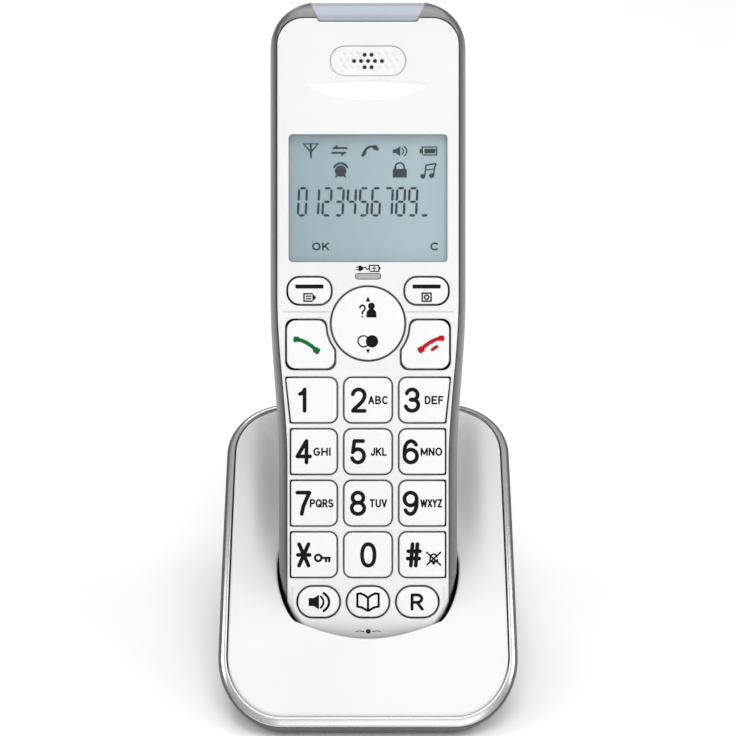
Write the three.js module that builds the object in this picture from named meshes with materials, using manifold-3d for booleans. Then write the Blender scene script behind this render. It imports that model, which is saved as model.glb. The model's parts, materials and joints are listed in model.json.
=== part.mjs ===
// Cordless telephone handset standing in its charging base.
// Millimetres, +Z up, +X to the right of a person facing the keypad, +Y away from them.
// The origin is under the middle of the whole object, on the surface it stands on.

import * as THREE from 'three';
import { mergeVertices } from 'three/addons/utils/BufferGeometryUtils.js';
import Module from 'manifold-3d';

const wasm = await Module();
wasm.setup();

// ---- driving dimensions ----

const GAP = 0.3;                    // clearance between neighbouring pieces

// Handset, in its own axes: x across, y from the keypad face into the body, z up its length.
const LEAN = THREE.MathUtils.degToRad(25);
const HANDSET_SEAT = { y: -21.9, z: 12.1 };      // lower front edge of the handset in the base
const LENGTH = 162;
const LOW_HALF_WIDTH = 22.6;
const TOP_HALF_WIDTH = 24.75;
const WAIST = { from: 46, to: 88 };              // heights between which the handset widens
const TOP_CORNER = 11;
const LOW_END = { height: 22, tuck: 15 };        // rounding of the lower end, seen from the front
const THICKNESS = 23.5;
const THICKEST_AT = 80;
const BACK_TUCK = { low: 5, top: 4.5 };          // how much thinner the ends are
const END_ROUND = { height: 7, tuck: 6 };        // rounding of both ends, seen from the side
const CHIN = { height: 10, tuck: 2 };
const BROW = { height: 6, tuck: 2.5 };
const CHEEK = { width: 2.4, depth: 8 };          // side band between face panel and widest point
const BACK_POWER = 2.8;                          // squareness of the back in cross-section
const WALL = 1.7;
const BEYOND = 40;                               // a depth well behind the handset's back

// Face panel
const PANEL = { low: 19.6, top: 22.6, upper: 157.6, lower: 0.4, topCorner: 6.6, lowCorner: 7, back: 1.9 };
const CUT = { front: -3, back: 4 };              // depths of an opening that goes right through the panel

// Display
const SCREEN = { width: 39.6, height: 31.9, z: 112.65, corner: 1 };
const WINDOW = { front: 0.5, back: 1.6 };
const DISPLAY_CELL = { margin: 1, front: 2.1, back: 4.1 };

// Keys: x is the centre of a column, z is the centre of a row
const KEY = { proud: 0.5, bottom: 2.7, width: 11.7, height: 11, corner: 1.8, pitch: 12.85 };
const KEY_ROW_TOP = 62.3;                        // centre height of the row 1 2 3
const SIDE_KEY = { inner: 7.85, outer: 19.15, flare: 1.3, outerCorner: 0.5 };
const PILL = { width: 10.2, height: 7.4, pitch: 12.3, z: 12 };
const NAV = { radius: 9.05, z: 81.4, ring: 10.7 };
const CALL = { inner: 8.4, outer: 20.2, low: 70.2, high: 82.15, corner: 2.2 };
const SOFT = { inner: 9.3, outer: 19.9, low: 86.3, high: 92.8, corner: 2.9 };
const MEMBRANE_SHEET = { halfWidth: 17.5, low: 8.5, high: 94.5, corner: 3, front: 3.85, back: 4.65 };

// Small pieces of the face
const LED_BAR = { halfWidth: 3.1, low: 92.5, high: 93.8, back: 2.4 };
const EAR = { halfWidth: 9.4, halfHeight: 3.7, z: 146.9, front: 0.2, back: 1.5 };
const EAR_HOLE = { radius: 0.5, pitch: 1.74, rise: 1.55 };
const MICROPHONE = { z: 5.6, radius: 2.4, front: 2.4, back: 4.6, hole: 0.6, holeZ: 4.5 };
const LENS = { top: 14.4, bottom: 12.2, low: 156.9, depth: 9 };

// Inside the handset
const EARPIECE = { z: 145.9, radius: 8.2, front: 2.1, back: 4.8 };
const RINGER = { z: 130, radius: 8.5, front: 12, back: 16.5 };
const RINGER_SLOT = { halfWidth: 6, halfHeight: 0.6, pitch: 2.4, count: 5 };
const HANDSET_BOARD = { halfWidth: 17, low: 7, high: 152, corner: 5, front: 5.2, back: 6.4 };
const SCREW = { head: 2.4, shank: 1.1, length: 9, panHead: 1.8, flatHead: 0.6 };
const SCREW_BOSS = { x: 12, z: 30, radius: 4, well: 2.9, bore: 1.5, floor: 15, seat: 17 };

// Battery bay in the back of the handset
const BAY = { halfWidth: 12.6, low: 50.5, high: 101.5, floor: 8.2, wall: 1 };
const CELL = { radius: 5.25, length: 44.5, x: 5.8, y: 13.7, z: 53.8 };
const CELL_NUB = { radius: 1.9, height: 1 };
const CELL_CONTACT_RADIUS = 3.4;

// Base, before the whole object is centred: its plan is centred on x = 0, y = 0
const BASE = { width: 74, depth: 85, corner: 16 };
const FACE = { front: 3.4, rear: 49.7, crown: 3.5 };   // height of the sloping face, and its bulge
const TROUGH = { depth: 7, inner: 22, outer: 30.5, from: -14, full: 20, fade: 33, end: 40 };
const TRIM = { width: 2, thickness: 0.6 };
const COVER_THICKNESS = 1.8;
const TUB = { bottom: 0.8, floor: 1.8, wall: 1.8 };
const POCKET = { gap: 0.45, wall: 1.5, bow: 2.9, height: 70, mouth: 24, lowTuck: 12.6 };
const FOOT = { radius: 4.5, height: 1, x: 25, front: -30, rear: 30 };
const BASE_SCREW = { x: 29, front: -6, rear: 17, boss: 3, bore: 1.5, well: 2.8, wellDepth: 1 };
const BASE_BOARD = { halfWidth: 20, front: 4, rear: 29, low: 5, high: 6.4 };
const INLET = { x: 16, halfWidth: 4.5, low: 7, high: 18, inner: 31, face: 42.3, bore: 3, pin: 1 };
const CONTACT = { x: 5.5, y: 7.5, halfWidth: 2, halfDepth: 1.5, low: 0.1, high: 1.3 };
const PIN = { radius: 1.2, length: 4.2 };

// ---- materials ----

function material(color, roughness, metalness = 0) {
  return new THREE.MeshStandardMaterial({ color, roughness, metalness });
}

const WHITE = material(0xf0eff0, 0.3);
const KEY_WHITE = material(0xf4f4f4, 0.4);
const SILVER = material(0x9a9b9e, 0.35, 0.6);
const TRIM_SILVER = material(0xc9c9cc, 0.2, 0.9);
const GREY = material(0x8d8e91, 0.5);
const CLEAR = material(0xdfe8ec, 0.05);
const DISPLAY = material(0xb4c6ce, 0.3);
const ICE = material(0xb9c4d4, 0.2);
const LED_GREY = material(0xb8b8ba, 0.3);
const RUBBER = material(0x333438, 0.9);
const MEMBRANE = material(0xb9babb, 0.8);
const BOARD = material(0x1f6b3b, 0.5);
const STEEL = material(0xb5b7ba, 0.3, 1);
const GOLD = material(0xd9b566, 0.3, 1);
const BLACK = material(0x141416, 0.5);
const CELL_SKIN = material(0x3c7a57, 0.4);

// ---- solids ----

function toSolid(geometry) {
  const bare = geometry.clone();
  bare.deleteAttribute('normal');
  bare.deleteAttribute('uv');
  const welded = mergeVertices(bare, 1e-4);
  return new wasm.Manifold(new wasm.Mesh({
    numProp: 3,
    vertProperties: Float32Array.from(welded.attributes.position.array),
    triVerts: Uint32Array.from(welded.index.array),
  }));
}

function toGeometry(solid) {
  const mesh = solid.getMesh();
  const geometry = new THREE.BufferGeometry();
  geometry.setAttribute('position', new THREE.BufferAttribute(mesh.vertProperties, 3));
  geometry.setIndex(new THREE.BufferAttribute(mesh.triVerts, 1));
  geometry.computeVertexNormals();
  return geometry;
}

function block(x0, x1, y0, y1, z0, z1) {
  const box = new THREE.BoxGeometry(x1 - x0, y1 - y0, z1 - z0);
  return toSolid(box.translate((x0 + x1) / 2, (y0 + y1) / 2, (z0 + z1) / 2));
}

// A plate parallel to the handset's face: the outline is in x and z, its thickness along y.
function plate(outline, front, back, curveSegments = 3) {
  const options = { depth: back - front, bevelEnabled: false, curveSegments };
  const geometry = new THREE.ExtrudeGeometry(outline, options);
  return toSolid(geometry.rotateX(Math.PI / 2).translate(0, back, 0));
}

function rodAlongZ(x, y, z0, z1, radius, sides = 12) {
  const rod = new THREE.CylinderGeometry(radius, radius, z1 - z0, sides);
  return toSolid(rod.rotateX(Math.PI / 2).translate(x, y, (z0 + z1) / 2));
}

function rodAlongY(x, y0, y1, z, radius, sides = 12) {
  const rod = new THREE.CylinderGeometry(radius, radius, y1 - y0, sides);
  return toSolid(rod.translate(x, (y0 + y1) / 2, z));
}

// A closed outline with each corner rounded by its own radius.
function roundedOutline(corners, radii) {
  const shape = new THREE.Shape();
  const count = corners.length;
  const round = 0.5523;                          // makes a cubic curve follow a quarter circle
  for (let i = 0; i < count; i++) {
    const corner = corners[i];
    const before = corners[(i + count - 1) % count].clone().sub(corner).normalize();
    const after = corners[(i + 1) % count].clone().sub(corner).normalize();
    const start = corner.clone().addScaledVector(before, radii[i]);
    const end = corner.clone().addScaledVector(after, radii[i]);
    const pull = radii[i] * (1 - round);
    const first = corner.clone().addScaledVector(before, pull);
    const second = corner.clone().addScaledVector(after, pull);
    if (i === 0) {
      shape.moveTo(start.x, start.y);
    } else {
      shape.lineTo(start.x, start.y);
    }
    shape.bezierCurveTo(first.x, first.y, second.x, second.y, end.x, end.y);
  }
  shape.closePath();
  return shape;
}

function boxOutline(x0, x1, z0, z1, radius) {
  const corners = [[x0, z0], [x1, z0], [x1, z1], [x0, z1]];
  return roundedOutline(corners.map(([x, z]) => new THREE.Vector2(x, z)), [radius, radius, radius, radius]);
}

// Joins equal rings of points into a closed solid with flat ends.
function loft(rings) {
  const sides = rings[0].length;
  const positions = rings.flat().flatMap((point) => [point.x, point.y, point.z]);
  const index = [];
  for (let ring = 0; ring + 1 < rings.length; ring++) {
    for (let side = 0; side < sides; side++) {
      const a = ring * sides + side;
      const b = ring * sides + (side + 1) % sides;
      index.push(a, b, b + sides, a, b + sides, a + sides);
    }
  }
  const last = (rings.length - 1) * sides;
  for (let side = 1; side + 1 < sides; side++) {
    index.push(0, side + 1, side);
    index.push(last, last + side, last + side + 1);
  }
  const geometry = new THREE.BufferGeometry();
  geometry.setAttribute('position', new THREE.Float32BufferAttribute(positions, 3));
  geometry.setIndex(index);
  return toSolid(geometry);
}

// ---- the handset's outer form ----

function smoothstep(from, to, value) {
  const t = THREE.MathUtils.clamp((value - from) / (to - from), 0, 1);
  return t * t * (3 - 2 * t);
}

// How far an end has curved in, as a quarter ellipse, at a distance from the start of the curve.
function quarterTuck(distance, height, tuck) {
  const t = THREE.MathUtils.clamp(distance / height, 0, 1);
  return tuck * (1 - Math.sqrt(1 - t * t));
}

function halfWidth(z, lowTuck) {
  const straight = THREE.MathUtils.lerp(LOW_HALF_WIDTH, TOP_HALF_WIDTH, smoothstep(WAIST.from, WAIST.to, z));
  const low = quarterTuck(LOW_END.height - z, LOW_END.height, lowTuck);
  const top = quarterTuck(z - LENGTH + TOP_CORNER, TOP_CORNER, TOP_CORNER);
  return straight - low - top;
}

function faceDepth(z) {
  const chin = quarterTuck(CHIN.height - z, CHIN.height, CHIN.tuck);
  const brow = quarterTuck(z - LENGTH + BROW.height, BROW.height, BROW.tuck);
  return chin + brow;
}

function backDepth(z) {
  const below = Math.max(0, (THICKEST_AT - z) / THICKEST_AT);
  const above = Math.max(0, (z - THICKEST_AT) / (LENGTH - THICKEST_AT));
  const low = quarterTuck(END_ROUND.height - z, END_ROUND.height, END_ROUND.tuck);
  const top = quarterTuck(z - LENGTH + END_ROUND.height, END_ROUND.height, END_ROUND.tuck);
  return THICKNESS - BACK_TUCK.low * below ** 2 - BACK_TUCK.top * above ** 2 - low - top;
}

// One cross-section of the handset, grown outwards by a distance.
function handsetRing(z, grow, lowTuck) {
  const width = halfWidth(z, lowTuck) + grow;
  const front = faceDepth(z) - grow;
  const back = backDepth(z) + grow;
  const cheekSteps = 3;
  const backSteps = 12;
  const points = [];
  const height = THREE.MathUtils.clamp(z, 0, LENGTH) + (z <= 0 ? -grow : 0) + (z >= LENGTH ? grow : 0);
  for (let i = 0; i < cheekSteps; i++) {
    const angle = (i / cheekSteps) * (Math.PI / 2);
    const x = width - CHEEK.width * (1 - Math.sin(angle));
    const y = CHEEK.depth - (CHEEK.depth - front) * Math.cos(angle);
    points.push(new THREE.Vector3(x, y, height));
  }
  for (let i = 0; i <= backSteps; i++) {
    const angle = (i / backSteps) * Math.PI;
    const across = Math.sign(Math.cos(angle)) * Math.abs(Math.cos(angle)) ** (2 / BACK_POWER);
    const deep = Math.abs(Math.sin(angle)) ** (2 / BACK_POWER);
    points.push(new THREE.Vector3(width * across, CHEEK.depth + (back - CHEEK.depth) * deep, height));
  }
  for (let i = cheekSteps - 1; i >= 0; i--) {
    points.push(new THREE.Vector3(-points[i].x, points[i].y, height));
  }
  return points;
}

function handsetForm(grow, top = LENGTH, lowTuck = LOW_END.tuck) {
  const lowEnd = [0, 0.8, 2.4, 5, 9, 14, LOW_END.height];
  const middle = [38, 50, 60, 68, 76, WAIST.to, 118, 148];
  const topEnd = [154.5, 158.5, 161, LENGTH];
  const heights = [...lowEnd, ...middle, ...topEnd].filter((z) => z <= top);
  return loft(heights.map((z) => handsetRing(z, grow, lowTuck)));
}

function panelHalf(z) {
  return THREE.MathUtils.lerp(PANEL.low, PANEL.top, smoothstep(WAIST.from, WAIST.to, z));
}

// The outline of the white face panel, with an optional margin.
function panelOutline(margin) {
  const steps = 8;
  const side = [];
  for (let i = 0; i <= steps; i++) {
    const z = THREE.MathUtils.lerp(WAIST.from, WAIST.to, i / steps);
    side.push(new THREE.Vector2(panelHalf(z) + margin, z));
  }
  const low = PANEL.lower - margin;
  const high = PANEL.upper + margin;
  const bottomCorner = new THREE.Vector2(PANEL.low + margin, low);
  const topCorner = new THREE.Vector2(PANEL.top + margin, high);
  const right = [bottomCorner, ...side, topCorner];
  const left = right.map((point) => new THREE.Vector2(-point.x, point.y)).reverse();
  const corners = [...right, ...left];
  const radii = corners.map(() => 0.2);
  radii[0] = PANEL.lowCorner;
  radii[right.length - 1] = PANEL.topCorner;
  radii[right.length] = PANEL.topCorner;
  radii[corners.length - 1] = PANEL.lowCorner;
  return roundedOutline(corners, radii);
}

// ---- collecting the pieces ----

const handset = new THREE.Group();
const base = new THREE.Group();

function add(group, name, solid, look) {
  const mesh = new THREE.Mesh(toGeometry(solid), look);
  mesh.name = name;
  group.add(mesh);
}

// ---- keys ----

// A key of the number pad. Side keys have a straight outer edge that follows the panel.
function padOutline(column, row, margin) {
  const z = KEY_ROW_TOP - row * KEY.pitch;
  const low = z - KEY.height / 2 - margin;
  const high = z + KEY.height / 2 + margin;
  const round = KEY.corner + margin;
  if (column === 0) {
    return boxOutline(-KEY.width / 2 - margin, KEY.width / 2 + margin, low, high, round);
  }
  const flare = row === 0 ? SIDE_KEY.flare : 0;
  const inner = SIDE_KEY.inner - margin;
  const outer = SIDE_KEY.outer + margin;
  const corners = [[inner, low], [outer, low], [outer + flare, high], [inner, high]];
  const radii = [round, SIDE_KEY.outerCorner, SIDE_KEY.outerCorner, round];
  return roundedOutline(corners.map(([x, y]) => new THREE.Vector2(column * x, y)), radii);
}

function sideBox(side, range, margin) {
  const x = [side * (range.inner - margin), side * (range.outer + margin)].sort((a, b) => a - b);
  return boxOutline(x[0], x[1], range.low - margin, range.high + margin, range.corner + margin);
}

function pillOutline(column, margin) {
  const x = column * PILL.pitch;
  const halfW = PILL.width / 2 + margin;
  const halfH = PILL.height / 2 + margin;
  return boxOutline(x - halfW, x + halfW, PILL.z - halfH, PILL.z + halfH, halfH - 0.1);
}

const KEY_FRONT = -KEY.proud;

function padKey(column, row) {
  return (margin, front, back) => plate(padOutline(column, row, margin), front, back, 3);
}

function pillKey(column) {
  return (margin, front, back) => plate(pillOutline(column, margin), front, back, 4);
}

function softKey(side) {
  return (margin, front, back) => plate(sideBox(side, SOFT, margin), front, back, 4);
}

// The call and end keys curve around the navigation key.
function callKey(side) {
  return (margin, front, back) => {
    const body = plate(sideBox(side, CALL, margin), front, back, 3);
    const around = rodAlongY(0, front - 1, back + 1, NAV.z, NAV.ring - margin, 36);
    return body.subtract(around);
  };
}

function navKey(margin, front, back) {
  return rodAlongY(0, front, back, NAV.z, NAV.radius + margin, 24);
}

const KEYS = {};
const PAD_ROWS = [['1', '2', '3'], ['4', '5', '6'], ['7', '8', '9'], ['star', '0', 'hash']];
PAD_ROWS.forEach((signs, row) => {
  signs.forEach((sign, column) => {
    KEYS[`key_${sign}`] = padKey(column - 1, row);
  });
});
Object.assign(KEYS, {
  key_speakerphone: pillKey(-1),
  key_phonebook: pillKey(0),
  key_recall: pillKey(1),
  softkey_left: softKey(-1),
  softkey_right: softKey(1),
  call_key: callKey(-1),
  end_key: callKey(1),
  nav_key: navKey,
});

for (const [name, make] of Object.entries(KEYS)) {
  add(handset, name, make(0, KEY_FRONT, KEY.bottom), KEY_WHITE);
}

// ---- openings in the face panel ----

function screenOutline(margin) {
  const x = SCREEN.width / 2 + margin;
  const z = SCREEN.height / 2 + margin;
  return boxOutline(-x, x, SCREEN.z - z, SCREEN.z + z, SCREEN.corner);
}

function earOutline(margin) {
  const x = EAR.halfWidth + margin;
  const z = EAR.halfHeight + margin;
  return boxOutline(-x, x, EAR.z - z, EAR.z + z, z - 0.1);
}

function ledOutline(margin) {
  const x = LED_BAR.halfWidth + margin;
  const radius = (LED_BAR.high - LED_BAR.low) / 2 + margin - 0.05;
  return boxOutline(-x, x, LED_BAR.low - margin, LED_BAR.high + margin, radius);
}

// The call alert lens wraps over the top end.
function lensOutline(margin) {
  const top = LENGTH + 2;
  const corners = [
    [-LENS.bottom - margin, LENS.low - margin], [LENS.bottom + margin, LENS.low - margin],
    [LENS.top + margin, top], [-LENS.top - margin, top],
  ];
  return roundedOutline(corners.map(([x, z]) => new THREE.Vector2(x, z)), [0.4, 0.4, 0.2, 0.2]);
}

// ---- handset shells ----

const outside = handsetForm(0);
const skin = outside.subtract(handsetForm(-WALL));
const lensCut = plate(lensOutline(GAP), CUT.front, LENS.depth + GAP);

let frontShell = skin.intersect(plate(panelOutline(0), CUT.front, PANEL.back, 4));
for (const make of Object.values(KEYS)) {
  frontShell = frontShell.subtract(make(GAP, CUT.front, CUT.back));
}
for (const outline of [screenOutline(0), earOutline(GAP), ledOutline(0.2)]) {
  frontShell = frontShell.subtract(plate(outline, CUT.front, CUT.back, 5));
}
frontShell = frontShell.subtract(rodAlongY(0, CUT.front, CUT.back, MICROPHONE.holeZ, MICROPHONE.hole, 8));
frontShell = frontShell.subtract(lensCut);
add(handset, 'handset_front_shell', frontShell, WHITE);

// The battery bay's walls and the screw bosses are part of the rear shell.
function bayBlock(grow, front, back) {
  const half = BAY.halfWidth + grow;
  return block(-half, half, front, back, BAY.low - grow, BAY.high + grow);
}

let rearShell = skin.subtract(plate(panelOutline(GAP), CUT.front, KEY.bottom + 2 * GAP, 4));
rearShell = rearShell.subtract(lensCut);
const insideWall = handsetForm(-WALL / 2);
rearShell = rearShell.add(bayBlock(BAY.wall, BAY.floor - BAY.wall, BEYOND).intersect(insideWall));
for (const side of [-1, 1]) {
  const boss = rodAlongY(side * SCREW_BOSS.x, SCREW_BOSS.floor, BEYOND, SCREW_BOSS.z, SCREW_BOSS.radius, 16);
  rearShell = rearShell.add(boss.intersect(insideWall));
}
rearShell = rearShell.subtract(bayBlock(0, BAY.floor, BEYOND));
for (const side of [-1, 1]) {
  const { x, z, seat, floor, well, bore } = SCREW_BOSS;
  rearShell = rearShell.subtract(rodAlongY(side * x, seat, BEYOND, z, well, 14));
  rearShell = rearShell.subtract(rodAlongY(side * x, floor - 1, BEYOND, z, bore, 10));
}
for (let i = 0; i < RINGER_SLOT.count; i++) {
  const { halfWidth: half, halfHeight: rise, pitch, count } = RINGER_SLOT;
  const z = RINGER.z + (i - (count - 1) / 2) * pitch;
  rearShell = rearShell.subtract(block(-half, half, RINGER.back + GAP, BEYOND, z - rise, z + rise));
}

function contactBlock(side, margin, low, high) {
  const x = side * CONTACT.x;
  const halfW = CONTACT.halfWidth + margin;
  const halfD = CONTACT.halfDepth + margin;
  return block(x - halfW, x + halfW, CONTACT.y - halfD, CONTACT.y + halfD, low, high);
}

for (const [side, name] of [[-1, 'handset_contact_left'], [1, 'handset_contact_right']]) {
  rearShell = rearShell.subtract(contactBlock(side, GAP, -WALL, WALL + 1));
  add(handset, name, contactBlock(side, 0, CONTACT.low, CONTACT.high), GOLD);
}
add(handset, 'handset_rear_shell', rearShell, SILVER);

// The door is the piece of the back that closes the bay.
add(handset, 'battery_door', skin.intersect(bayBlock(-GAP, CHEEK.depth, BEYOND)), SILVER);

// ---- display, lenses and acoustic pieces ----

const cellOutline = screenOutline(DISPLAY_CELL.margin);
add(handset, 'lcd_window', plate(screenOutline(-GAP), WINDOW.front, WINDOW.back), CLEAR);
add(handset, 'lcd_panel', plate(cellOutline, DISPLAY_CELL.front, DISPLAY_CELL.back), DISPLAY);
add(handset, 'call_alert_lens', skin.intersect(plate(lensOutline(0), CUT.front, LENS.depth)), ICE);
add(handset, 'charge_led_lens', plate(ledOutline(0), 0, LED_BAR.back), LED_GREY);

let earPad = plate(earOutline(0), EAR.front, EAR.back, 5);
for (const [row, holes] of [[1, 2], [0, 5], [-1, 2]]) {
  for (let i = 0; i < holes; i++) {
    const x = (i - (holes - 1) / 2) * EAR_HOLE.pitch;
    const z = EAR.z + row * EAR_HOLE.rise;
    earPad = earPad.subtract(rodAlongY(x, CUT.front, CUT.back, z, EAR_HOLE.radius, 6));
  }
}
add(handset, 'earpiece_pad', earPad, WHITE);

function discPiece(place, sides) {
  return rodAlongY(0, place.front, place.back, place.z, place.radius, sides);
}

add(handset, 'earpiece_speaker', discPiece(EARPIECE, 24), BLACK);
add(handset, 'microphone', discPiece(MICROPHONE, 14), STEEL);
add(handset, 'ringer_speaker', discPiece(RINGER, 20), BLACK);

// ---- inside the handset ----

function sheetPiece(sheet) {
  const outline = boxOutline(-sheet.halfWidth, sheet.halfWidth, sheet.low, sheet.high, sheet.corner);
  return plate(outline, sheet.front, sheet.back);
}

add(handset, 'keypad_membrane', sheetPiece(MEMBRANE_SHEET), MEMBRANE);
add(handset, 'handset_board', sheetPiece(HANDSET_BOARD), BOARD);

for (const [side, name] of [[-1, 'battery_cell_left'], [1, 'battery_cell_right']]) {
  const x = side * CELL.x;
  const end = CELL.z + CELL.length;
  const shoulder = end - CELL_NUB.height;
  const body = rodAlongZ(x, CELL.y, CELL.z, shoulder, CELL.radius, 14);
  const nub = rodAlongZ(x, CELL.y, shoulder - 1, end, CELL_NUB.radius, 8);
  add(handset, name, body.add(nub), CELL_SKIN);
}
for (const [side, name] of [[-1, 'battery_contact_left'], [1, 'battery_contact_right']]) {
  const x = side * CELL.x;
  add(handset, name, rodAlongZ(x, CELL.y, BAY.low + GAP, CELL.z - GAP, CELL_CONTACT_RADIUS, 12), STEEL);
}

// A pan-head screw whose head faces the start of its axis.
function screw(headHeight) {
  const { head, shank, length } = SCREW;
  const profile = [[0, 0], [head, 0], [head, headHeight], [shank, headHeight], [shank, length], [0, length]];
  return new THREE.LatheGeometry(profile.map(([x, y]) => new THREE.Vector2(x, y)), 8);
}

for (const [side, name] of [[-1, 'handset_screw_left'], [1, 'handset_screw_right']]) {
  const turned = screw(SCREW.panHead).rotateX(Math.PI);
  const head = SCREW_BOSS.seat + GAP + SCREW.panHead;
  add(handset, name, toSolid(turned.translate(side * SCREW_BOSS.x, head, SCREW_BOSS.z)), STEEL);
}

// ---- the base ----

// Height of the base's sloping face. A trough falls away on both sides of the handset's back.
function faceHeight(x, y) {
  const u = THREE.MathUtils.clamp((y + BASE.depth / 2) / BASE.depth, 0, 1);
  const slope = FACE.front + (FACE.rear - FACE.front) * u + 4 * FACE.crown * u * (1 - u);
  const across = 1 - smoothstep(TROUGH.inner, TROUGH.outer, Math.abs(x));
  const along = smoothstep(TROUGH.from, TROUGH.full, y) * (1 - smoothstep(TROUGH.fade, TROUGH.end, y));
  return slope - TROUGH.depth * across * along;
}

// Points around the base's plan, moved inwards by an inset.
function planOutline(inset) {
  const points = [];
  const arc = 6;
  const radius = BASE.corner - inset;
  const cx = BASE.width / 2 - inset - radius;
  const cy = BASE.depth / 2 - inset - radius;
  const along = 4;
  for (let quarter = 0; quarter < 4; quarter++) {
    const sx = quarter === 0 || quarter === 3 ? 1 : -1;
    const sy = quarter < 2 ? 1 : -1;
    for (let i = 0; i <= arc; i++) {
      const angle = (quarter + i / arc) * (Math.PI / 2);
      points.push(new THREE.Vector2(sx * cx + radius * Math.cos(angle), sy * cy + radius * Math.sin(angle)));
    }
    const start = points[points.length - 1].clone();
    const nextX = quarter === 0 || quarter === 2 ? -sx * cx : start.x;
    const nextY = quarter === 0 || quarter === 2 ? start.y : -sy * cy;
    for (let i = 1; i < along; i++) {
      points.push(start.clone().lerp(new THREE.Vector2(nextX, nextY), i / along));
    }
  }
  return points;
}

// A block a little wider than the base, from a floor up to the sloping face lowered by a drop.
function underFace(drop, floor, rings = 7) {
  const outline = planOutline(-1);
  const positions = [0, 0, faceHeight(0, 0) - drop];
  const index = [];
  const count = outline.length;
  for (let ring = 1; ring <= rings; ring++) {
    const share = ring / rings;
    for (const point of outline) {
      const x = point.x * share;
      const y = point.y * share;
      positions.push(x, y, faceHeight(x, y) - drop);
    }
  }
  const rim = positions.length / 3 - count;
  for (const point of outline) {
    positions.push(point.x, point.y, floor);
  }
  positions.push(0, 0, floor);
  const bottom = rim + count;
  const middle = bottom + count;
  for (let i = 0; i < count; i++) {
    const next = (i + 1) % count;
    index.push(0, 1 + i, 1 + next);
    for (let ring = 0; ring + 1 < rings; ring++) {
      const a = 1 + ring * count + i;
      const b = 1 + ring * count + next;
      index.push(a, a + count, b + count, a, b + count, b);
    }
    index.push(rim + i, bottom + i, bottom + next, rim + i, bottom + next, rim + next);
    index.push(middle, bottom + next, bottom + i);
  }
  const geometry = new THREE.BufferGeometry();
  geometry.setAttribute('position', new THREE.Float32BufferAttribute(positions, 3));
  geometry.setIndex(index);
  return toSolid(geometry);
}

function planBlock(inset, bottom, top) {
  const shape = new THREE.Shape(planOutline(inset));
  const geometry = new THREE.ExtrudeGeometry(shape, { depth: top - bottom, bevelEnabled: false });
  return toSolid(geometry.translate(0, 0, bottom));
}

// Moves a solid from the handset's own axes to the base's.
function docked(solid) {
  const geometry = toGeometry(solid);
  geometry.rotateX(-LEAN);
  return toSolid(geometry.translate(0, HANDSET_SEAT.y, HANDSET_SEAT.z));
}

// The mouth of the pocket bows forwards in front of the handset's chin.
function mouth(grow, low, high) {
  const half = PANEL.low + grow;
  const bow = POCKET.bow + grow;
  const radius = (half ** 2 + bow ** 2) / (2 * bow);
  const centre = radius - bow - POCKET.gap;
  const reach = Math.asin(half / radius);
  const shape = new THREE.Shape();
  shape.absarc(0, centre, radius, -Math.PI / 2 - reach, -Math.PI / 2 + reach);
  shape.lineTo(half, CHEEK.depth);
  shape.lineTo(-half, CHEEK.depth);
  shape.closePath();
  const options = { depth: high - low, bevelEnabled: false, curveSegments: 5 };
  return toSolid(new THREE.ExtrudeGeometry(shape, options).translate(0, 0, low));
}

const BIG = 90;
const floorHeight = TUB.bottom + TUB.floor;

// The handset's form and the bowed mouth together, grown by the pocket's gap and by a wall.
function pocketForm(wall) {
  const grow = POCKET.gap + wall;
  return handsetForm(grow, POCKET.height, POCKET.lowTuck).add(mouth(wall, -grow, POCKET.mouth));
}


const coverPlan = planBlock(TRIM.width + GAP, floorHeight + GAP, BIG);
const underCover = underFace(COVER_THICKNESS / 2, floorHeight + GAP).intersect(coverPlan);

let cover = underFace(0, -BIG).subtract(underFace(COVER_THICKNESS, -BIG - 1)).intersect(coverPlan);
cover = cover.add(docked(pocketForm(POCKET.wall)).intersect(underCover));
for (const x of [-BASE_SCREW.x, BASE_SCREW.x]) {
  for (const y of [BASE_SCREW.front, BASE_SCREW.rear]) {
    const boss = rodAlongZ(x, y, floorHeight + GAP, BIG, BASE_SCREW.boss, 12);
    cover = cover.add(boss.intersect(underCover));
    cover = cover.subtract(rodAlongZ(x, y, 0, SCREW.length + 3, BASE_SCREW.bore, 10));
  }
}
cover = cover.subtract(docked(pocketForm(0)));
for (const x of [-CONTACT.x, CONTACT.x]) {
  cover = cover.subtract(docked(rodAlongZ(x, CONTACT.y, -2 * PIN.length, 1, PIN.radius + GAP, 12)));
}
add(base, 'base_top_cover', cover, WHITE);

const trim = underFace(0, -BIG)
  .subtract(underFace(TRIM.thickness, -BIG - 1))
  .intersect(planBlock(0, -BIG, BIG))
  .subtract(planBlock(TRIM.width, -BIG - 2, BIG + 1));
add(base, 'base_trim_ring', trim, TRIM_SILVER);

// Bottom cover: an open tub with a wall as high as the sloping trim.
let tub = underFace(TRIM.thickness + GAP, TUB.bottom)
  .intersect(planBlock(0, 0, BIG))
  .subtract(planBlock(TUB.wall, floorHeight, BIG));
for (const x of [-FOOT.x, FOOT.x]) {
  for (const y of [FOOT.front, FOOT.rear]) {
    tub = tub.subtract(rodAlongZ(x, y, 0, FOOT.height + GAP, FOOT.radius + 2 * GAP, 16));
  }
}
for (const x of [-BASE_SCREW.x, BASE_SCREW.x]) {
  for (const y of [BASE_SCREW.front, BASE_SCREW.rear]) {
    tub = tub.subtract(rodAlongZ(x, y, 0, floorHeight + 1, BASE_SCREW.bore, 10));
    tub = tub.subtract(rodAlongZ(x, y, 0, TUB.bottom + BASE_SCREW.wellDepth, BASE_SCREW.well, 14));
  }
}

function inletBlock(margin, front, rear) {
  const half = INLET.halfWidth + margin;
  return block(INLET.x - half, INLET.x + half, front, rear, INLET.low - margin, INLET.high + margin);
}

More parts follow.
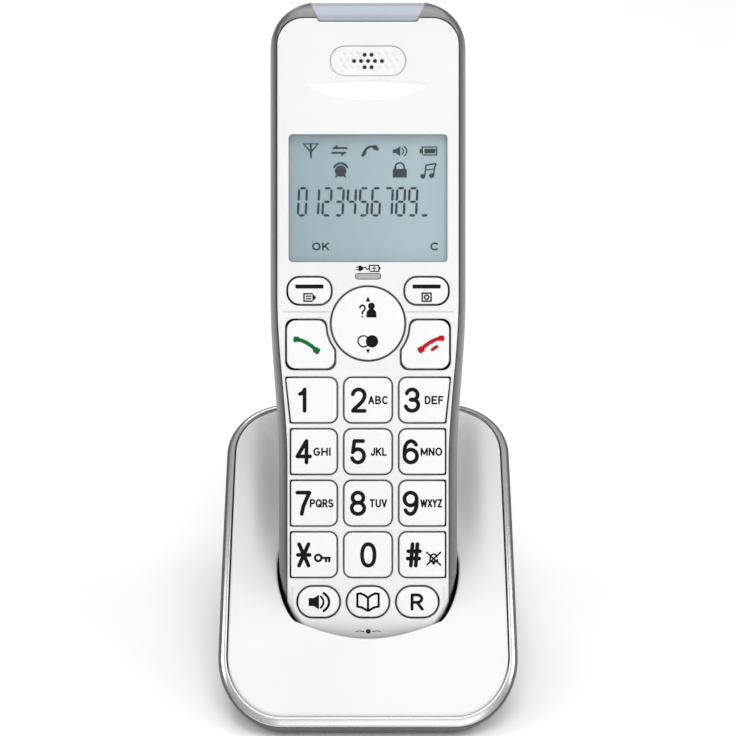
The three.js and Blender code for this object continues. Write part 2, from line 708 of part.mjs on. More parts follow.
tub = tub.subtract(inletBlock(GAP, BASE.depth / 2 - TUB.wall - 1, BASE.depth / 2 + 1));
add(base, 'base_bottom_cover', tub, GREY);

// ---- small pieces of the base ----

const SCREW_LEVEL = TUB.bottom + 0.1;
for (const end of ['front', 'rear']) {
  for (const [side, hand] of [[-1, 'left'], [1, 'right']]) {
    const foot = rodAlongZ(side * FOOT.x, FOOT[end], 0, FOOT.height, FOOT.radius, 16);
    add(base, `rubber_foot_${end}_${hand}`, foot, RUBBER);
    const upright = screw(SCREW.flatHead).rotateX(Math.PI / 2);
    upright.translate(side * BASE_SCREW.x, BASE_SCREW[end], SCREW_LEVEL);
    add(base, `base_screw_${end}_${hand}`, toSolid(upright), STEEL);
  }
}

// The handset's axes place the pins, which lie along its length.
for (const [side, name] of [[-1, 'charge_pin_left'], [1, 'charge_pin_right']]) {
  const pin = rodAlongZ(side * CONTACT.x, CONTACT.y, -GAP - PIN.length, -GAP, PIN.radius, 12);
  add(base, name, docked(pin), GOLD);
}

const { halfWidth: boardHalf, front: boardFront, rear: boardRear } = BASE_BOARD;
const board = block(-boardHalf, boardHalf, boardFront, boardRear, BASE_BOARD.low, BASE_BOARD.high);
add(base, 'base_board', board, BOARD);

let inlet = inletBlock(0, INLET.inner, INLET.face);
const inletMiddle = (INLET.low + INLET.high) / 2;
inlet = inlet.subtract(rodAlongY(INLET.x, INLET.inner + 2, INLET.face + 1, inletMiddle, INLET.bore, 18));
inlet = inlet.add(rodAlongY(INLET.x, INLET.inner + 1, INLET.face - 1.5, inletMiddle, INLET.pin, 10));
add(base, 'dc_inlet', inlet, BLACK);

// ---- assembly ----

handset.rotation.x = -LEAN;
handset.position.set(0, HANDSET_SEAT.y, HANDSET_SEAT.z);

const phone = new THREE.Group();
phone.add(handset, base);
phone.updateMatrixWorld(true);
const extent = new THREE.Box3().setFromObject(phone, true);
phone.position.y = -(extent.min.y + extent.max.y) / 2;

export default phone;
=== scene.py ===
"""Cordless phone in its charging base: the surfaces, legends and materials built around the frame.

Handset pieces are built in millimetres in the handset's own axes: x across, y into the body from the
keypad face, z up its length. Base pieces are built in millimetres from the middle of the base's plan.
"""
import functools
import json
import math

import bmesh
import bpy
import numpy as np
from mathutils import Matrix, Vector, kdtree
from mathutils.geometry import delaunay_2d_cdt


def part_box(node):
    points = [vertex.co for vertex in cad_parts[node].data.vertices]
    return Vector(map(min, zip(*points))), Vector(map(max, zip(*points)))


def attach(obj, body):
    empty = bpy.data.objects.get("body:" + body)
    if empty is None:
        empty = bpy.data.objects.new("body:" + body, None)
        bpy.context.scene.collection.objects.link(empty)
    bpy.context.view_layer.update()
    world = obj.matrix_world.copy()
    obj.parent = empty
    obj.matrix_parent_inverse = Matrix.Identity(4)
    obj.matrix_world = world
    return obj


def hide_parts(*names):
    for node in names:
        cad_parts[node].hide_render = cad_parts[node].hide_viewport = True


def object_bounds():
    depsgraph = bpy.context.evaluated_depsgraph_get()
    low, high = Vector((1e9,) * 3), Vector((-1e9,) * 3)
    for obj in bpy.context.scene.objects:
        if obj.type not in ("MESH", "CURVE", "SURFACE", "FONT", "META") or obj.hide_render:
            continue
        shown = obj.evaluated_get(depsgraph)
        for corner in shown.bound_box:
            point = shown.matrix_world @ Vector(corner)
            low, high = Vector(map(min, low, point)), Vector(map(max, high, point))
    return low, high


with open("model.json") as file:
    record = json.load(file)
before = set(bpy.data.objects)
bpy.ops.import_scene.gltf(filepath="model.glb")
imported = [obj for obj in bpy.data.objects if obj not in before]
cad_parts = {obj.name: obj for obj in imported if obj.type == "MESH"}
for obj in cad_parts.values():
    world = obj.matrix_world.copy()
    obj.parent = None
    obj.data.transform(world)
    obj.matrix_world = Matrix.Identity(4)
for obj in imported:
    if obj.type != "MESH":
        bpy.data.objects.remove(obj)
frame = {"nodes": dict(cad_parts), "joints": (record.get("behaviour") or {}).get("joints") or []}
cad_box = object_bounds()

# ---- frames ----

MM = 0.001
JOINTS = {joint["name"]: joint for joint in frame["joints"]}
UP = Vector(JOINTS["handset_lift"]["axis"]).normalized()
INWARD = Vector(JOINTS["key_5_press"]["axis"]).normalized()
NAV_PIVOT = Vector((0, 2.0, 81.4))      # the rocking key's pivot in the handset's axes


def axes_matrix(x, y, z, origin):
    matrix = Matrix((x * MM, y * MM, z * MM)).transposed().to_4x4()
    matrix.translation = origin
    return matrix


def handset_matrix():
    pivot = Vector(JOINTS["nav_key_rock"]["pos_m"])
    origin = pivot - INWARD * NAV_PIVOT.y * MM - UP * NAV_PIVOT.z * MM
    return axes_matrix(Vector((1, 0, 0)), INWARD, UP, origin)


def base_matrix():
    low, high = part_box("base_bottom_cover")
    origin = Vector(((low.x + high.x) / 2, (low.y + high.y) / 2, 0))
    return axes_matrix(Vector((1, 0, 0)), Vector((0, 1, 0)), Vector((0, 0, 1)), origin)


HANDSET = handset_matrix()
BASE = base_matrix()
HANDSET_IN_BASE = BASE.inverted() @ HANDSET
FROM_WORLD = HANDSET.inverted()


def local_box(node, place=HANDSET):
    """Lowest and highest corner of a CAD node in the axes of its place, in millimetres."""
    back = place.inverted()
    points = np.array([back @ vertex.co for vertex in frame["nodes"][node].data.vertices])
    return Vector(points.min(0)), Vector(points.max(0))


def middle_of(node, place=HANDSET):
    low, high = local_box(node, place)
    return (low + high) / 2


# ---- the handset's form ----

# Millimetres. Pairs named for an end are its height and how far it is tucked in.
LENGTH = 162
LOW_HALF_WIDTH = 22.6
TOP_HALF_WIDTH = 24.75
WAIST = (46, 88)
TOP_CORNER = 11
LOW_END = (22, 15)
THICKNESS = 23.5
THICKEST_AT = 80
BACK_TUCK = (5, 4.5)
END_ROUND = (7, 6)
CHIN = (10, 2)
BROW = (6, 2.5)
CHEEK_WIDTH = 2.4
CHEEK_DEPTH = 8
BACK_POWER = 2.8
WALL = 1.7
GAP = 0.3


def smoothstep(start, end, value):
    t = min(max((value - start) / (end - start), 0), 1)
    return t * t * (3 - 2 * t)


def lerp(a, b, t):
    return a + (b - a) * t


def quarter_tuck(distance, height, tuck):
    t = min(max(distance / height, 0), 1)
    return tuck * (1 - math.sqrt(1 - t * t))


def half_width(z, low_tuck=LOW_END[1]):
    straight = lerp(LOW_HALF_WIDTH, TOP_HALF_WIDTH, smoothstep(*WAIST, z))
    low = quarter_tuck(LOW_END[0] - z, LOW_END[0], low_tuck)
    top = quarter_tuck(z - LENGTH + TOP_CORNER, TOP_CORNER, TOP_CORNER)
    return straight - low - top


def face_depth(z):
    return quarter_tuck(CHIN[0] - z, *CHIN) + quarter_tuck(z - LENGTH + BROW[0], *BROW)


def back_depth(z):
    below = max(0, (THICKEST_AT - z) / THICKEST_AT)
    above = max(0, (z - THICKEST_AT) / (LENGTH - THICKEST_AT))
    ends = quarter_tuck(END_ROUND[0] - z, *END_ROUND) + quarter_tuck(z - LENGTH + END_ROUND[0], *END_ROUND)
    return THICKNESS - BACK_TUCK[0] * below ** 2 - BACK_TUCK[1] * above ** 2 - ends


def handset_ring(z, grow, cheek_steps=10, back_steps=56, front_steps=0, low_tuck=LOW_END[1]):
    """One cross-section of the handset, from the right edge of its face round its back to the left."""
    width = half_width(z, low_tuck) + grow
    front = face_depth(z) - grow
    back = back_depth(z) + grow
    right = []
    for i in range(cheek_steps):
        angle = i / cheek_steps * math.pi / 2
        right.append((width - CHEEK_WIDTH * (1 - math.sin(angle)),
                      CHEEK_DEPTH - (CHEEK_DEPTH - front) * math.cos(angle)))
    rear = []
    for i in range(back_steps + 1):
        angle = i / back_steps * math.pi
        across = math.copysign(abs(math.cos(angle)) ** (2 / BACK_POWER), math.cos(angle))
        deep = math.sin(angle) ** (2 / BACK_POWER) if 0 < i < back_steps else 0
        rear.append((width * across, CHEEK_DEPTH + (back - CHEEK_DEPTH) * deep))
    left = [(-x, y) for x, y in reversed(right)]
    edge = width - CHEEK_WIDTH
    face = [(lerp(-edge, edge, i / front_steps), front) for i in range(1, front_steps)]
    return right + rear + left + face


# ---- the base's form ----

# Millimetres. Pairs are where something starts and ends.
BASE_WIDTH = 74
BASE_DEPTH = 85
BASE_CORNER = 16
FACE_FRONT = 3.4
FACE_REAR = 49.7
FACE_CROWN = 3.5
TROUGH_DEPTH = 5
TROUGH_SIDES = (22, 30.5)
TROUGH_START = (-14, 20)
TROUGH_END = (33, 40)
TRIM_WIDTH = 2
TUB_BOTTOM = 0.8
POCKET_GAP = 0.45
POCKET_BOW = 2.9
POCKET_LOW_TUCK = 11.8
COVER_THICKNESS = 1.8


def face_height(x, y):
    """Height of the base's sloping face, with the trough on both sides of the handset's back."""
    u = min(max((y + BASE_DEPTH / 2) / BASE_DEPTH, 0), 1)
    slope = FACE_FRONT + (FACE_REAR - FACE_FRONT) * u + 4 * FACE_CROWN * u * (1 - u)
    across = 1 - smoothstep(*TROUGH_SIDES, abs(x))
    along = smoothstep(*TROUGH_START, y) * (1 - smoothstep(*TROUGH_END, y))
    return slope - TROUGH_DEPTH * across * along


STRAIGHT = math.pi / 2 - 0.01        # half angle over which a corner counts as none
LARGEST_TURN = 0.25                  # radians between two points of an arc


def rounded(corners, radii, step=0.25):
    """A closed outline whose corners are true arcs, each of its own radius."""
    points = []
    count = len(corners)
    for i in range(count):
        corner = Vector(corners[i])
        before = (Vector(corners[i - 1]) - corner).normalized()
        after = (Vector(corners[(i + 1) % count]) - corner).normalized()
        radius = radii[i] if isinstance(radii, (list, tuple)) else radii
        half = before.angle(after) / 2
        if radius <= 0 or half > STRAIGHT:
            points.append(corner)
            continue
        reach = radius / math.tan(half)
        centre = corner + (before + after).normalized() * radius / math.sin(half)
        start = corner + before * reach - centre
        end = corner + after * reach - centre
        turn = start.angle_signed(end)
        steps = max(2, math.ceil(abs(turn) * radius / step), math.ceil(abs(turn) / LARGEST_TURN))
        for k in range(steps + 1):
            angle = -turn * k / steps
            points.append(centre + Matrix.Rotation(angle, 2) @ start)
    return points


def box_outline(x0, x1, y0, y1, radius, step=0.25):
    return rounded([(x0, y0), (x1, y0), (x1, y1), (x0, y1)], radius, step)


def circle(x, y, radius, steps=32):
    turns = [2 * math.pi * i / steps for i in range(steps)]
    return [Vector((x + radius * math.cos(a), y + radius * math.sin(a))) for a in turns]


def densify(loop, step):
    """Splits the long sides of an outline."""
    points = []
    for a, b in zip(loop, loop[1:] + loop[:1]):
        pieces = max(1, math.ceil((b - a).length / step))
        points.extend(a.lerp(b, i / pieces) for i in range(pieces))
    return points


def area(loop):
    return sum(a.x * b.y - b.x * a.y for a, b in zip(loop, loop[1:] + loop[:1])) / 2


def moved_in(loop, distance):
    """The outline moved towards its inside by a distance, or outwards if that is negative."""
    sign = 1 if area(loop) > 0 else -1
    count = len(loop)
    result = []
    for i in range(count):
        before = (loop[i] - loop[i - 1]).normalized()
        after = (loop[(i + 1) % count] - loop[i]).normalized()
        along = (before + after).normalized()
        stretch = max(0.5, along.dot(after))
        result.append(loop[i] + Vector((-along.y, along.x)) * sign * distance / stretch)
    return result


# ---- building meshes ----

def outward(obj):
    """Merges doubled points and turns every face outwards."""
    cleaner = bmesh.new()
    cleaner.from_mesh(obj.data)
    bmesh.ops.remove_doubles(cleaner, verts=cleaner.verts, dist=1e-7)
    bmesh.ops.recalc_face_normals(cleaner, faces=cleaner.faces)
    cleaner.to_mesh(obj.data)
    cleaner.free()
    return obj


def finish_mesh(obj, body, look, sharp=35):
    """Gives a new piece its body, material and smooth shading."""
    mesh = outward(obj).data
    mesh.shade_smooth()
    mesh.set_sharp_from_angle(angle=math.radians(sharp))
    mesh.materials.clear()
    mesh.materials.append(look)
    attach(obj, body)


def mesh_object(name, points, faces, place):
    mesh = bpy.data.meshes.new(name)
    mesh.from_pydata([place @ Vector(p) for p in points], [], faces)
    mesh.update()
    obj = bpy.data.objects.new(name, mesh)
    bpy.context.scene.collection.objects.link(obj)
    return obj


def weigh_normals(obj):
    """Keeps flat faces flat next to their rounded edges."""
    modifier = obj.modifiers.new("normals", "WEIGHTED_NORMAL")
    modifier.keep_sharp = True
    modifier.weight = 80


def inside(points, loop):
    """Which of an array of 2D points lie inside an outline."""
    corners = np.array([(p.x, p.y) for p in loop])
    ends = np.roll(corners, -1, axis=0)
    hits = np.zeros(len(points), int)
    for (x0, y0), (x1, y1) in zip(corners, ends):
        if y0 == y1:
            continue
        crosses = (points[:, 1] >= min(y0, y1)) & (points[:, 1] < max(y0, y1))
        at = x0 + (points[:, 1] - y0) * (x1 - x0) / (y1 - y0)
        hits += crosses & (points[:, 0] < at)
    return hits % 2 == 1


def grid_points(outer, holes, spacing):
    """Evenly spaced points inside an outline, clear of its edges and holes."""
    xs = [p.x for p in outer]
    ys = [p.y for p in outer]
    across = np.arange(min(xs) + spacing / 2, max(xs), spacing)
    rows = np.arange(min(ys) + spacing / 2, max(ys), spacing)
    points = np.array([(x, y) for y in rows for x in across]).reshape(-1, 2)
    keep = inside(points, outer)
    for hole in holes:
        keep &= ~inside(points, hole)
    edges = [p for loop in [outer, *holes] for p in loop]
    tree = kdtree.KDTree(len(edges))
    for i, p in enumerate(edges):
        tree.insert((p.x, p.y, 0), i)
    tree.balance()
    return [Vector(p) for p in points[keep] if tree.find((p[0], p[1], 0))[2] > 0.55 * spacing]


SLIVER = 1e-4       # twice the area under which a triangle is left out


def triangulate(loops, loose, tolerance):
    """Triangles over outlines and loose points: points, faces, the faces' middles, the points' sources."""
    flat = [p for loop in loops for p in loop] + loose
    edges = []
    start = 0
    for loop in loops:
        edges += [(start + i, start + (i + 1) % len(loop)) for i in range(len(loop))]
        start += len(loop)
    verts, _, faces, source, _, _ = delaunay_2d_cdt(flat, edges, [], 0, tolerance)
    faces = [(a, b, c) for a, b, c in faces
             if abs((verts[b] - verts[a]).cross(verts[c] - verts[a])) > SLIVER]
    centres = np.array([sum((verts[i] for i in face), Vector((0, 0))) / 3 for face in faces])
    return verts, faces, centres, source


def plate(name, surface, outer, body, look, place, holes=(), depth=1.5, radius=0.3, down=(0, 1, 0),
          hole_down=None, spacing=1.2, steps=4, sharp=35, detail=None):
    """A closed sheet with rounded edges, whose top is surface(x, y) over an outline with holes.
    Inside the detail outline its faces are finer."""
    loops = [densify(outer, spacing)] + [densify(hole, spacing) for hole in holes]
    inner = [moved_in(loops[0], radius)] + [moved_in(hole, -radius) for hole in loops[1:]]
    fill = grid_points(inner[0], inner[1:] + ([detail] if detail else []), spacing)
    if detail:
        fill += grid_points(detail, [], spacing / 3)
    bounds = inner + ([detail] if detail else [])
    verts, faces, centres, source = triangulate(bounds, fill, 1e-5)
    keep = inside(centres, inner[0])
    for hole in inner[1:]:
        keep &= ~inside(centres, hole)
    faces = [face for face, kept in zip(faces, keep) if kept]
    index = {}
    for out, inputs in enumerate(source):
        for i in inputs:
            index[i] = out
    down = Vector(down).normalized()
    points = [surface(v.x, v.y) for v in verts]
    count = len(points)
    under = [p + down * depth for p in points]
    start = 0
    strips = []
    for number, (loop, top) in enumerate(zip(loops, inner)):
        wall = Vector(hole_down).normalized() if number and hole_down else down
        ring = [index[start + i] for i in range(len(loop))]
        start += len(loop)
        corner = [surface(p.x, p.y) for p in loop]
        foot = [p + wall * radius for p in corner]
        for i, j in enumerate(ring):
            under[j] = corner[i] + wall * depth
        strips.append((ring, corner, foot))
    points += under
    all_faces = [list(face) for face in faces] + [[i + count for i in reversed(face)] for face in faces]
    for ring, corner, foot in strips:
        previous = ring
        for k in range(1, steps + 1):
            t = k / steps
            first = len(points)
            for i, j in enumerate(ring):
                points.append(points[j] * (1 - t) ** 2 + corner[i] * 2 * t * (1 - t) + foot[i] * t * t)
            current = list(range(first, first + len(ring)))
            all_faces += strip(previous, current)
            previous = current
        all_faces += strip(previous, [j + count for j in ring])
    obj = mesh_object(name, points, all_faces, place)
    finish_mesh(obj, body, look, sharp)
    weigh_normals(obj)
    return obj


def strip(first, second):
    count = len(first)
    return [[first[i], first[(i + 1) % count], second[(i + 1) % count], second[i]] for i in range(count)]


def ring_indices(k, sides):
    return list(range(k * sides, (k + 1) * sides))


def joined(rings, joins):
    """Faces from each ring numbered in joins to the next one. The last ring is followed by the first."""
    sides = len(rings[0])
    faces = []
    for k in joins:
        faces += strip(ring_indices(k, sides), ring_indices((k + 1) % len(rings), sides))
    return faces


def loft(name, rings, place):
    """Equal rings of points joined into a closed solid."""
    sides = len(rings[0])
    faces = joined(rings, range(len(rings) - 1))
    faces += [ring_indices(0, sides)[::-1], ring_indices(len(rings) - 1, sides)]
    return outward(mesh_object(name, [p for ring in rings for p in ring], faces, place))


def face_lift(x, z, level):
    return (x, level, z)


def plan_lift(x, y, level):
    return (x, y, level)


def prism(name, outline, low, high, place=HANDSET, lift=face_lift):
    """An outline extruded between two levels. lift turns (x, y, level) into a point."""
    return loft(name, [[lift(p.x, p.y, level) for p in outline] for level in (low, high)], place)


def combine(obj, others, operation="DIFFERENCE"):
    """Cuts or joins obj with other solids, which are then removed."""
    for other in others:
        modifier = obj.modifiers.new("cut", "BOOLEAN")
        modifier.operation = operation
        modifier.object = other
        modifier.solver = "EXACT"
    graph = bpy.context.evaluated_depsgraph_get()
    mesh = bpy.data.meshes.new_from_object(obj.evaluated_get(graph))
    obj.modifiers.clear()
    old = obj.data
    obj.data = mesh
    bpy.data.meshes.remove(old)
    for other in others:
        bpy.data.objects.remove(other)
    return obj


def clip(obj, keep):
    """Keeps only the part of obj inside another solid."""
    return combine(obj, [keep], "INTERSECT")


def lathe(name, profile, place, foot, axis, steps=48):
    """A solid turned about an axis. The profile is a list of (radius, distance along the axis)."""
    axis = Vector(axis).normalized()
    side = axis.orthogonal().normalized()
    rings = []
    for radius, along in profile:
        centre = Vector(foot) + axis * along
        spokes = [Matrix.Rotation(2 * math.pi * i / steps, 3, axis) @ side for i in range(steps)]
        rings.append([centre + spoke * radius for spoke in spokes])
    return loft(name, rings, place)


# ---- materials ----

def add(tree, kind, values=None, sources=None, data_type=None):
    """A new node, some of whose inputs are set and others linked to the outputs of other nodes."""
    node = tree.nodes.new("ShaderNode" + kind)
    if data_type:
        node.data_type = data_type
    feed(tree, node, values or {}, sources or {})
    return node


def feed(tree, node, values, sources):
    for name, value in values.items():
        node.inputs[name].default_value = value
    for name, output in sources.items():
        tree.links.new(output, node.inputs[name])


def node_material(name):
    look = bpy.data.materials.new(name)
    look.use_nodes = True
    return look, look.node_tree, look.node_tree.nodes["Principled BSDF"]


def plastic(name, color, roughness, grain=900, bump=0.02, tint=0.03, metallic=0.0, coat=0.0, specular=0.5):
    """Moulded plastic: faint colour drift, uneven gloss and a fine surface texture."""
    look, tree, shader = node_material(name)
    place = add(tree, "TexCoord").outputs["Object"]
    drift = add(tree, "TexNoise", {"Scale": 25, "Detail": 4}, {"Vector": place})
    ramp = add(tree, "ValToRGB", sources={"Fac": drift.outputs["Fac"]})
    low, high = ramp.color_ramp.elements
    low.position, high.position = 0.3, 0.7
    low.color = (*[c * (1 - tint) for c in color], 1)
    high.color = (*[min(1, c * (1 + tint)) for c in color], 1)
    texture = add(tree, "TexNoise", {"Scale": grain, "Detail": 5}, {"Vector": place}).outputs["Fac"]
    gloss = add(tree, "MapRange", {"To Min": roughness * 0.8, "To Max": roughness * 1.2},
                {"Value": texture})
    relief = add(tree, "Bump", {"Strength": bump, "Distance": 0.0002}, {"Height": texture})
    feed(tree, shader, {"Metallic": metallic, "Specular IOR Level": specular, "Coat Weight": coat,
                        "Coat Roughness": 0.08},
         {"Base Color": ramp.outputs["Color"], "Roughness": gloss.outputs["Result"],
          "Normal": relief.outputs["Normal"]})
    return look


WHITE = plastic("white_shell", (0.74, 0.74, 0.745), 0.3, coat=0.15)
# A shade darker than the handset's white, as painted shade, since the base's face tilts up and gets more
# light.
BASE_WHITE = plastic("base_white", (0.73, 0.73, 0.735), 0.34, coat=0.1)
KEY_WHITE = plastic("key_caps", (0.8, 0.8, 0.8), 0.38, bump=0.05)
SILVER = plastic("silver_paint", (0.18, 0.18, 0.178), 0.36, grain=2500, bump=0.06, tint=0.05, metallic=0.75)
TRIM = plastic("bright_trim", (0.56, 0.555, 0.55), 0.24, grain=1500, bump=0.008, metallic=0.9)
GREY = plastic("grey_shell", (0.1, 0.1, 0.102), 0.42, grain=1800, bump=0.12)
BLACK = plastic("black_plastic", (0.012, 0.012, 0.013), 0.4)
INK = plastic("black_ink", (0.003, 0.003, 0.006), 0.6, bump=0.01, specular=0.12)
GREEN_INK = plastic("green_ink", (0.0, 0.13, 0.022), 0.6, bump=0.01, specular=0.12)
RED_INK = plastic("red_ink", (0.5, 0.0, 0.012), 0.6, bump=0.01, specular=0.12)
LCD_INK = plastic("display_ink", (0.004, 0.012, 0.017), 0.6, bump=0.01, specular=0.1)
ICE = plastic("ice_lens", (0.34, 0.375, 0.44), 0.2, bump=0.01, coat=0.4)
LED = plastic("charge_light", (0.36, 0.36, 0.37), 0.25, bump=0.01)
RUBBER = plastic("foot_rubber", (0.02, 0.02, 0.022), 0.85, grain=2500, bump=0.3)
STEEL = plastic("zinc_steel", (0.55, 0.55, 0.56), 0.3, metallic=1.0)
GOLD = plastic("gold_contact", (0.8, 0.56, 0.2), 0.22, metallic=1.0)
SLEEVE = plastic("cell_sleeve", (0.03, 0.18, 0.09), 0.3, coat=0.3)
BOARD = plastic("solder_mask", (0.01, 0.12, 0.04), 0.35, coat=0.2)
SILICONE = plastic("silicone_sheet", (0.5, 0.5, 0.5), 0.7, bump=0.1)
# Painted highlight: a lighter, glossier white for the crescent below the earpiece, standing in for the light
# it catches.
SCOOP_PAINTED_HIGHLIGHT = plastic("scoop_painted_highlight", (0.9, 0.9, 0.9), 0.2, coat=0.3)
FLOOR = plastic("pale_floor", (0.97, 0.97, 0.97), 0.6, grain=60, bump=0.0, tint=0.004)


def clear_material():
    look, tree, shader = node_material("clear_window")
    haze = add(tree, "TexNoise", {"Scale": 300}, {"Vector": add(tree, "TexCoord").outputs["Object"]})
    gloss = add(tree, "MapRange", {"To Min": 0.02, "To Max": 0.06}, {"Value": haze.outputs["Fac"]})
    feed(tree, shader, {"Base Color": (0.8, 0.9, 0.95, 1), "Alpha": 0.03, "IOR": 1.49},
         {"Roughness": gloss.outputs["Result"]})
    return look


def display_material():
    """The display's reflector: grey blue, with painted light that makes it a little lighter towards its right
    side.
    """
    look = plastic("display_field", (0.3, 0.4, 0.44), 0.5, grain=4000, bump=0.02, tint=0.04)
    tree = look.node_tree
    axes = add(tree, "SeparateXYZ", sources={"Vector": add(tree, "TexCoord").outputs["Object"]})
    # Painted light: the grey blue runs lighter towards the right side, where the light falls.
    across = add(tree, "MapRange", {"From Min": -0.016, "From Max": 0.02}, {"Value": axes.outputs["X"]})
    blend = add(tree, "Mix", {"A": (0.24, 0.335, 0.37, 1), "B": (0.37, 0.475, 0.52, 1)},
                {"Factor": across.outputs["Result"]}, "RGBA")
    drift = add(tree, "Mix", {"Factor": 0.25},
                {"A": blend.outputs["Result"], "B": tree.nodes["Color Ramp"].outputs["Color"]}, "RGBA")
    feed(tree, tree.nodes["Principled BSDF"], {}, {"Base Color": drift.outputs["Result"]})
    return look


CLEAR = clear_material()
LCD = display_material()


# ---- printed marks ----

PRINT_RISE = 0.02
PRINT_SINK = 0.06
PRINT_STEP = 0.5
SHARP_TURN = math.radians(50)


def arc(x, y, across, up, start, end, power=2.0, steps=18):
    """Points along an ellipse between two angles in degrees. A power over 2 squares it."""
    points = []
    for i in range(steps + 1):
        angle = math.radians(lerp(start, end, i / steps))
        right = math.copysign(abs(math.cos(angle)) ** (2 / power), math.cos(angle))
        above = math.copysign(abs(math.sin(angle)) ** (2 / power), math.sin(angle))
        points.append((x + across * right, y + up * above))
    return points


def hoop(x, y, across, up, power=2.0):
    """An ellipse as two lines that overlap at their ends."""
    return [arc(x, y, across, up, 85, 275, power), arc(x, y, across, up, -95, 95, power)]


def stroke(points, width, last=None):
    """The outline of a pen stroke with round ends, which may grow or shrink along its way."""
    path = [Vector(p) for p in points]
    count = len(path)
    last = width if last is None else last
    left = []
    right = []
    for i, p in enumerate(path):
        before = (p - path[max(i - 1, 0)]) if i else path[1] - p
        after = (path[i + 1] - p) if i + 1 < count else before
        along = (before.normalized() + after.normalized()).normalized()
        side = Vector((-along.y, along.x))
        half = lerp(width, last, i / (count - 1)) / 2
        reach = half / max(0.6, along.dot(after.normalized()))
        left.append(p + side * reach)
        right.append(p - side * reach)
    return left + end_cap(path[-1], left[-1]) + right[::-1] + end_cap(path[0], right[0])


def end_cap(middle, start, steps=7):
    """Points of a half circle turning clockwise from a point round a middle."""
    return [middle + Matrix.Rotation(-math.pi * i / steps, 2) @ (start - middle) for i in range(1, steps)]


def polygon(*corners, radius=0.0):
    return rounded(corners, radius, 0.1) if radius else [Vector(p) for p in corners]


def bar(x0, x1, z0, z1, radius=0.1):
    return box_outline(x0, x1, z0, z1, radius, 0.1)


def disc(x, z, radius):
    return circle(x, z, radius, 28)


def ring_mark(x, z, radius, width):
    return [stroke(line, width) for line in hoop(x, z, radius - width / 2, radius - width / 2)]


def flatten(shapes):
    """Overlapping outlines merged into one triangulated sheet."""
    loops = [densify(loop, PRINT_STEP) for loop in shapes]
    verts, faces, centres, _ = triangulate(loops, [], 1e-4)
    keep = np.zeros(len(faces), bool)
    for loop in loops:
        keep |= inside(centres, loop)
    return verts, [face for face, kept in zip(faces, keep) if kept]


def print_on(name, body, look, surface, sheets):
    """Printed sheets as one thin closed piece, standing just proud of a surface."""
    points = []
    faces = []
    out = Vector((0, -1, 0))
    for verts, triangles in sheets:
        used = sorted({i for face in triangles for i in face})
        number = {i: len(points) + k for k, i in enumerate(used)}
        count = len(used)
        feet = [surface(verts[i].x, verts[i].y) for i in used]
        points += [p + out * PRINT_RISE for p in feet] + [p - out * PRINT_SINK for p in feet]
        tops = [[number[i] for i in face] for face in triangles]
        sides = {(face[k], face[(k + 1) % len(face)]) for face in tops for k in range(len(face))}
        faces += tops + [[i + count for i in reversed(face)] for face in tops]
        faces += [[a, a + count, b + count, b] for a, b in sorted(sides) if (b, a) not in sides]
    obj = mesh_object(name, points, faces, HANDSET)
    finish_mesh(obj, body, look, 30)


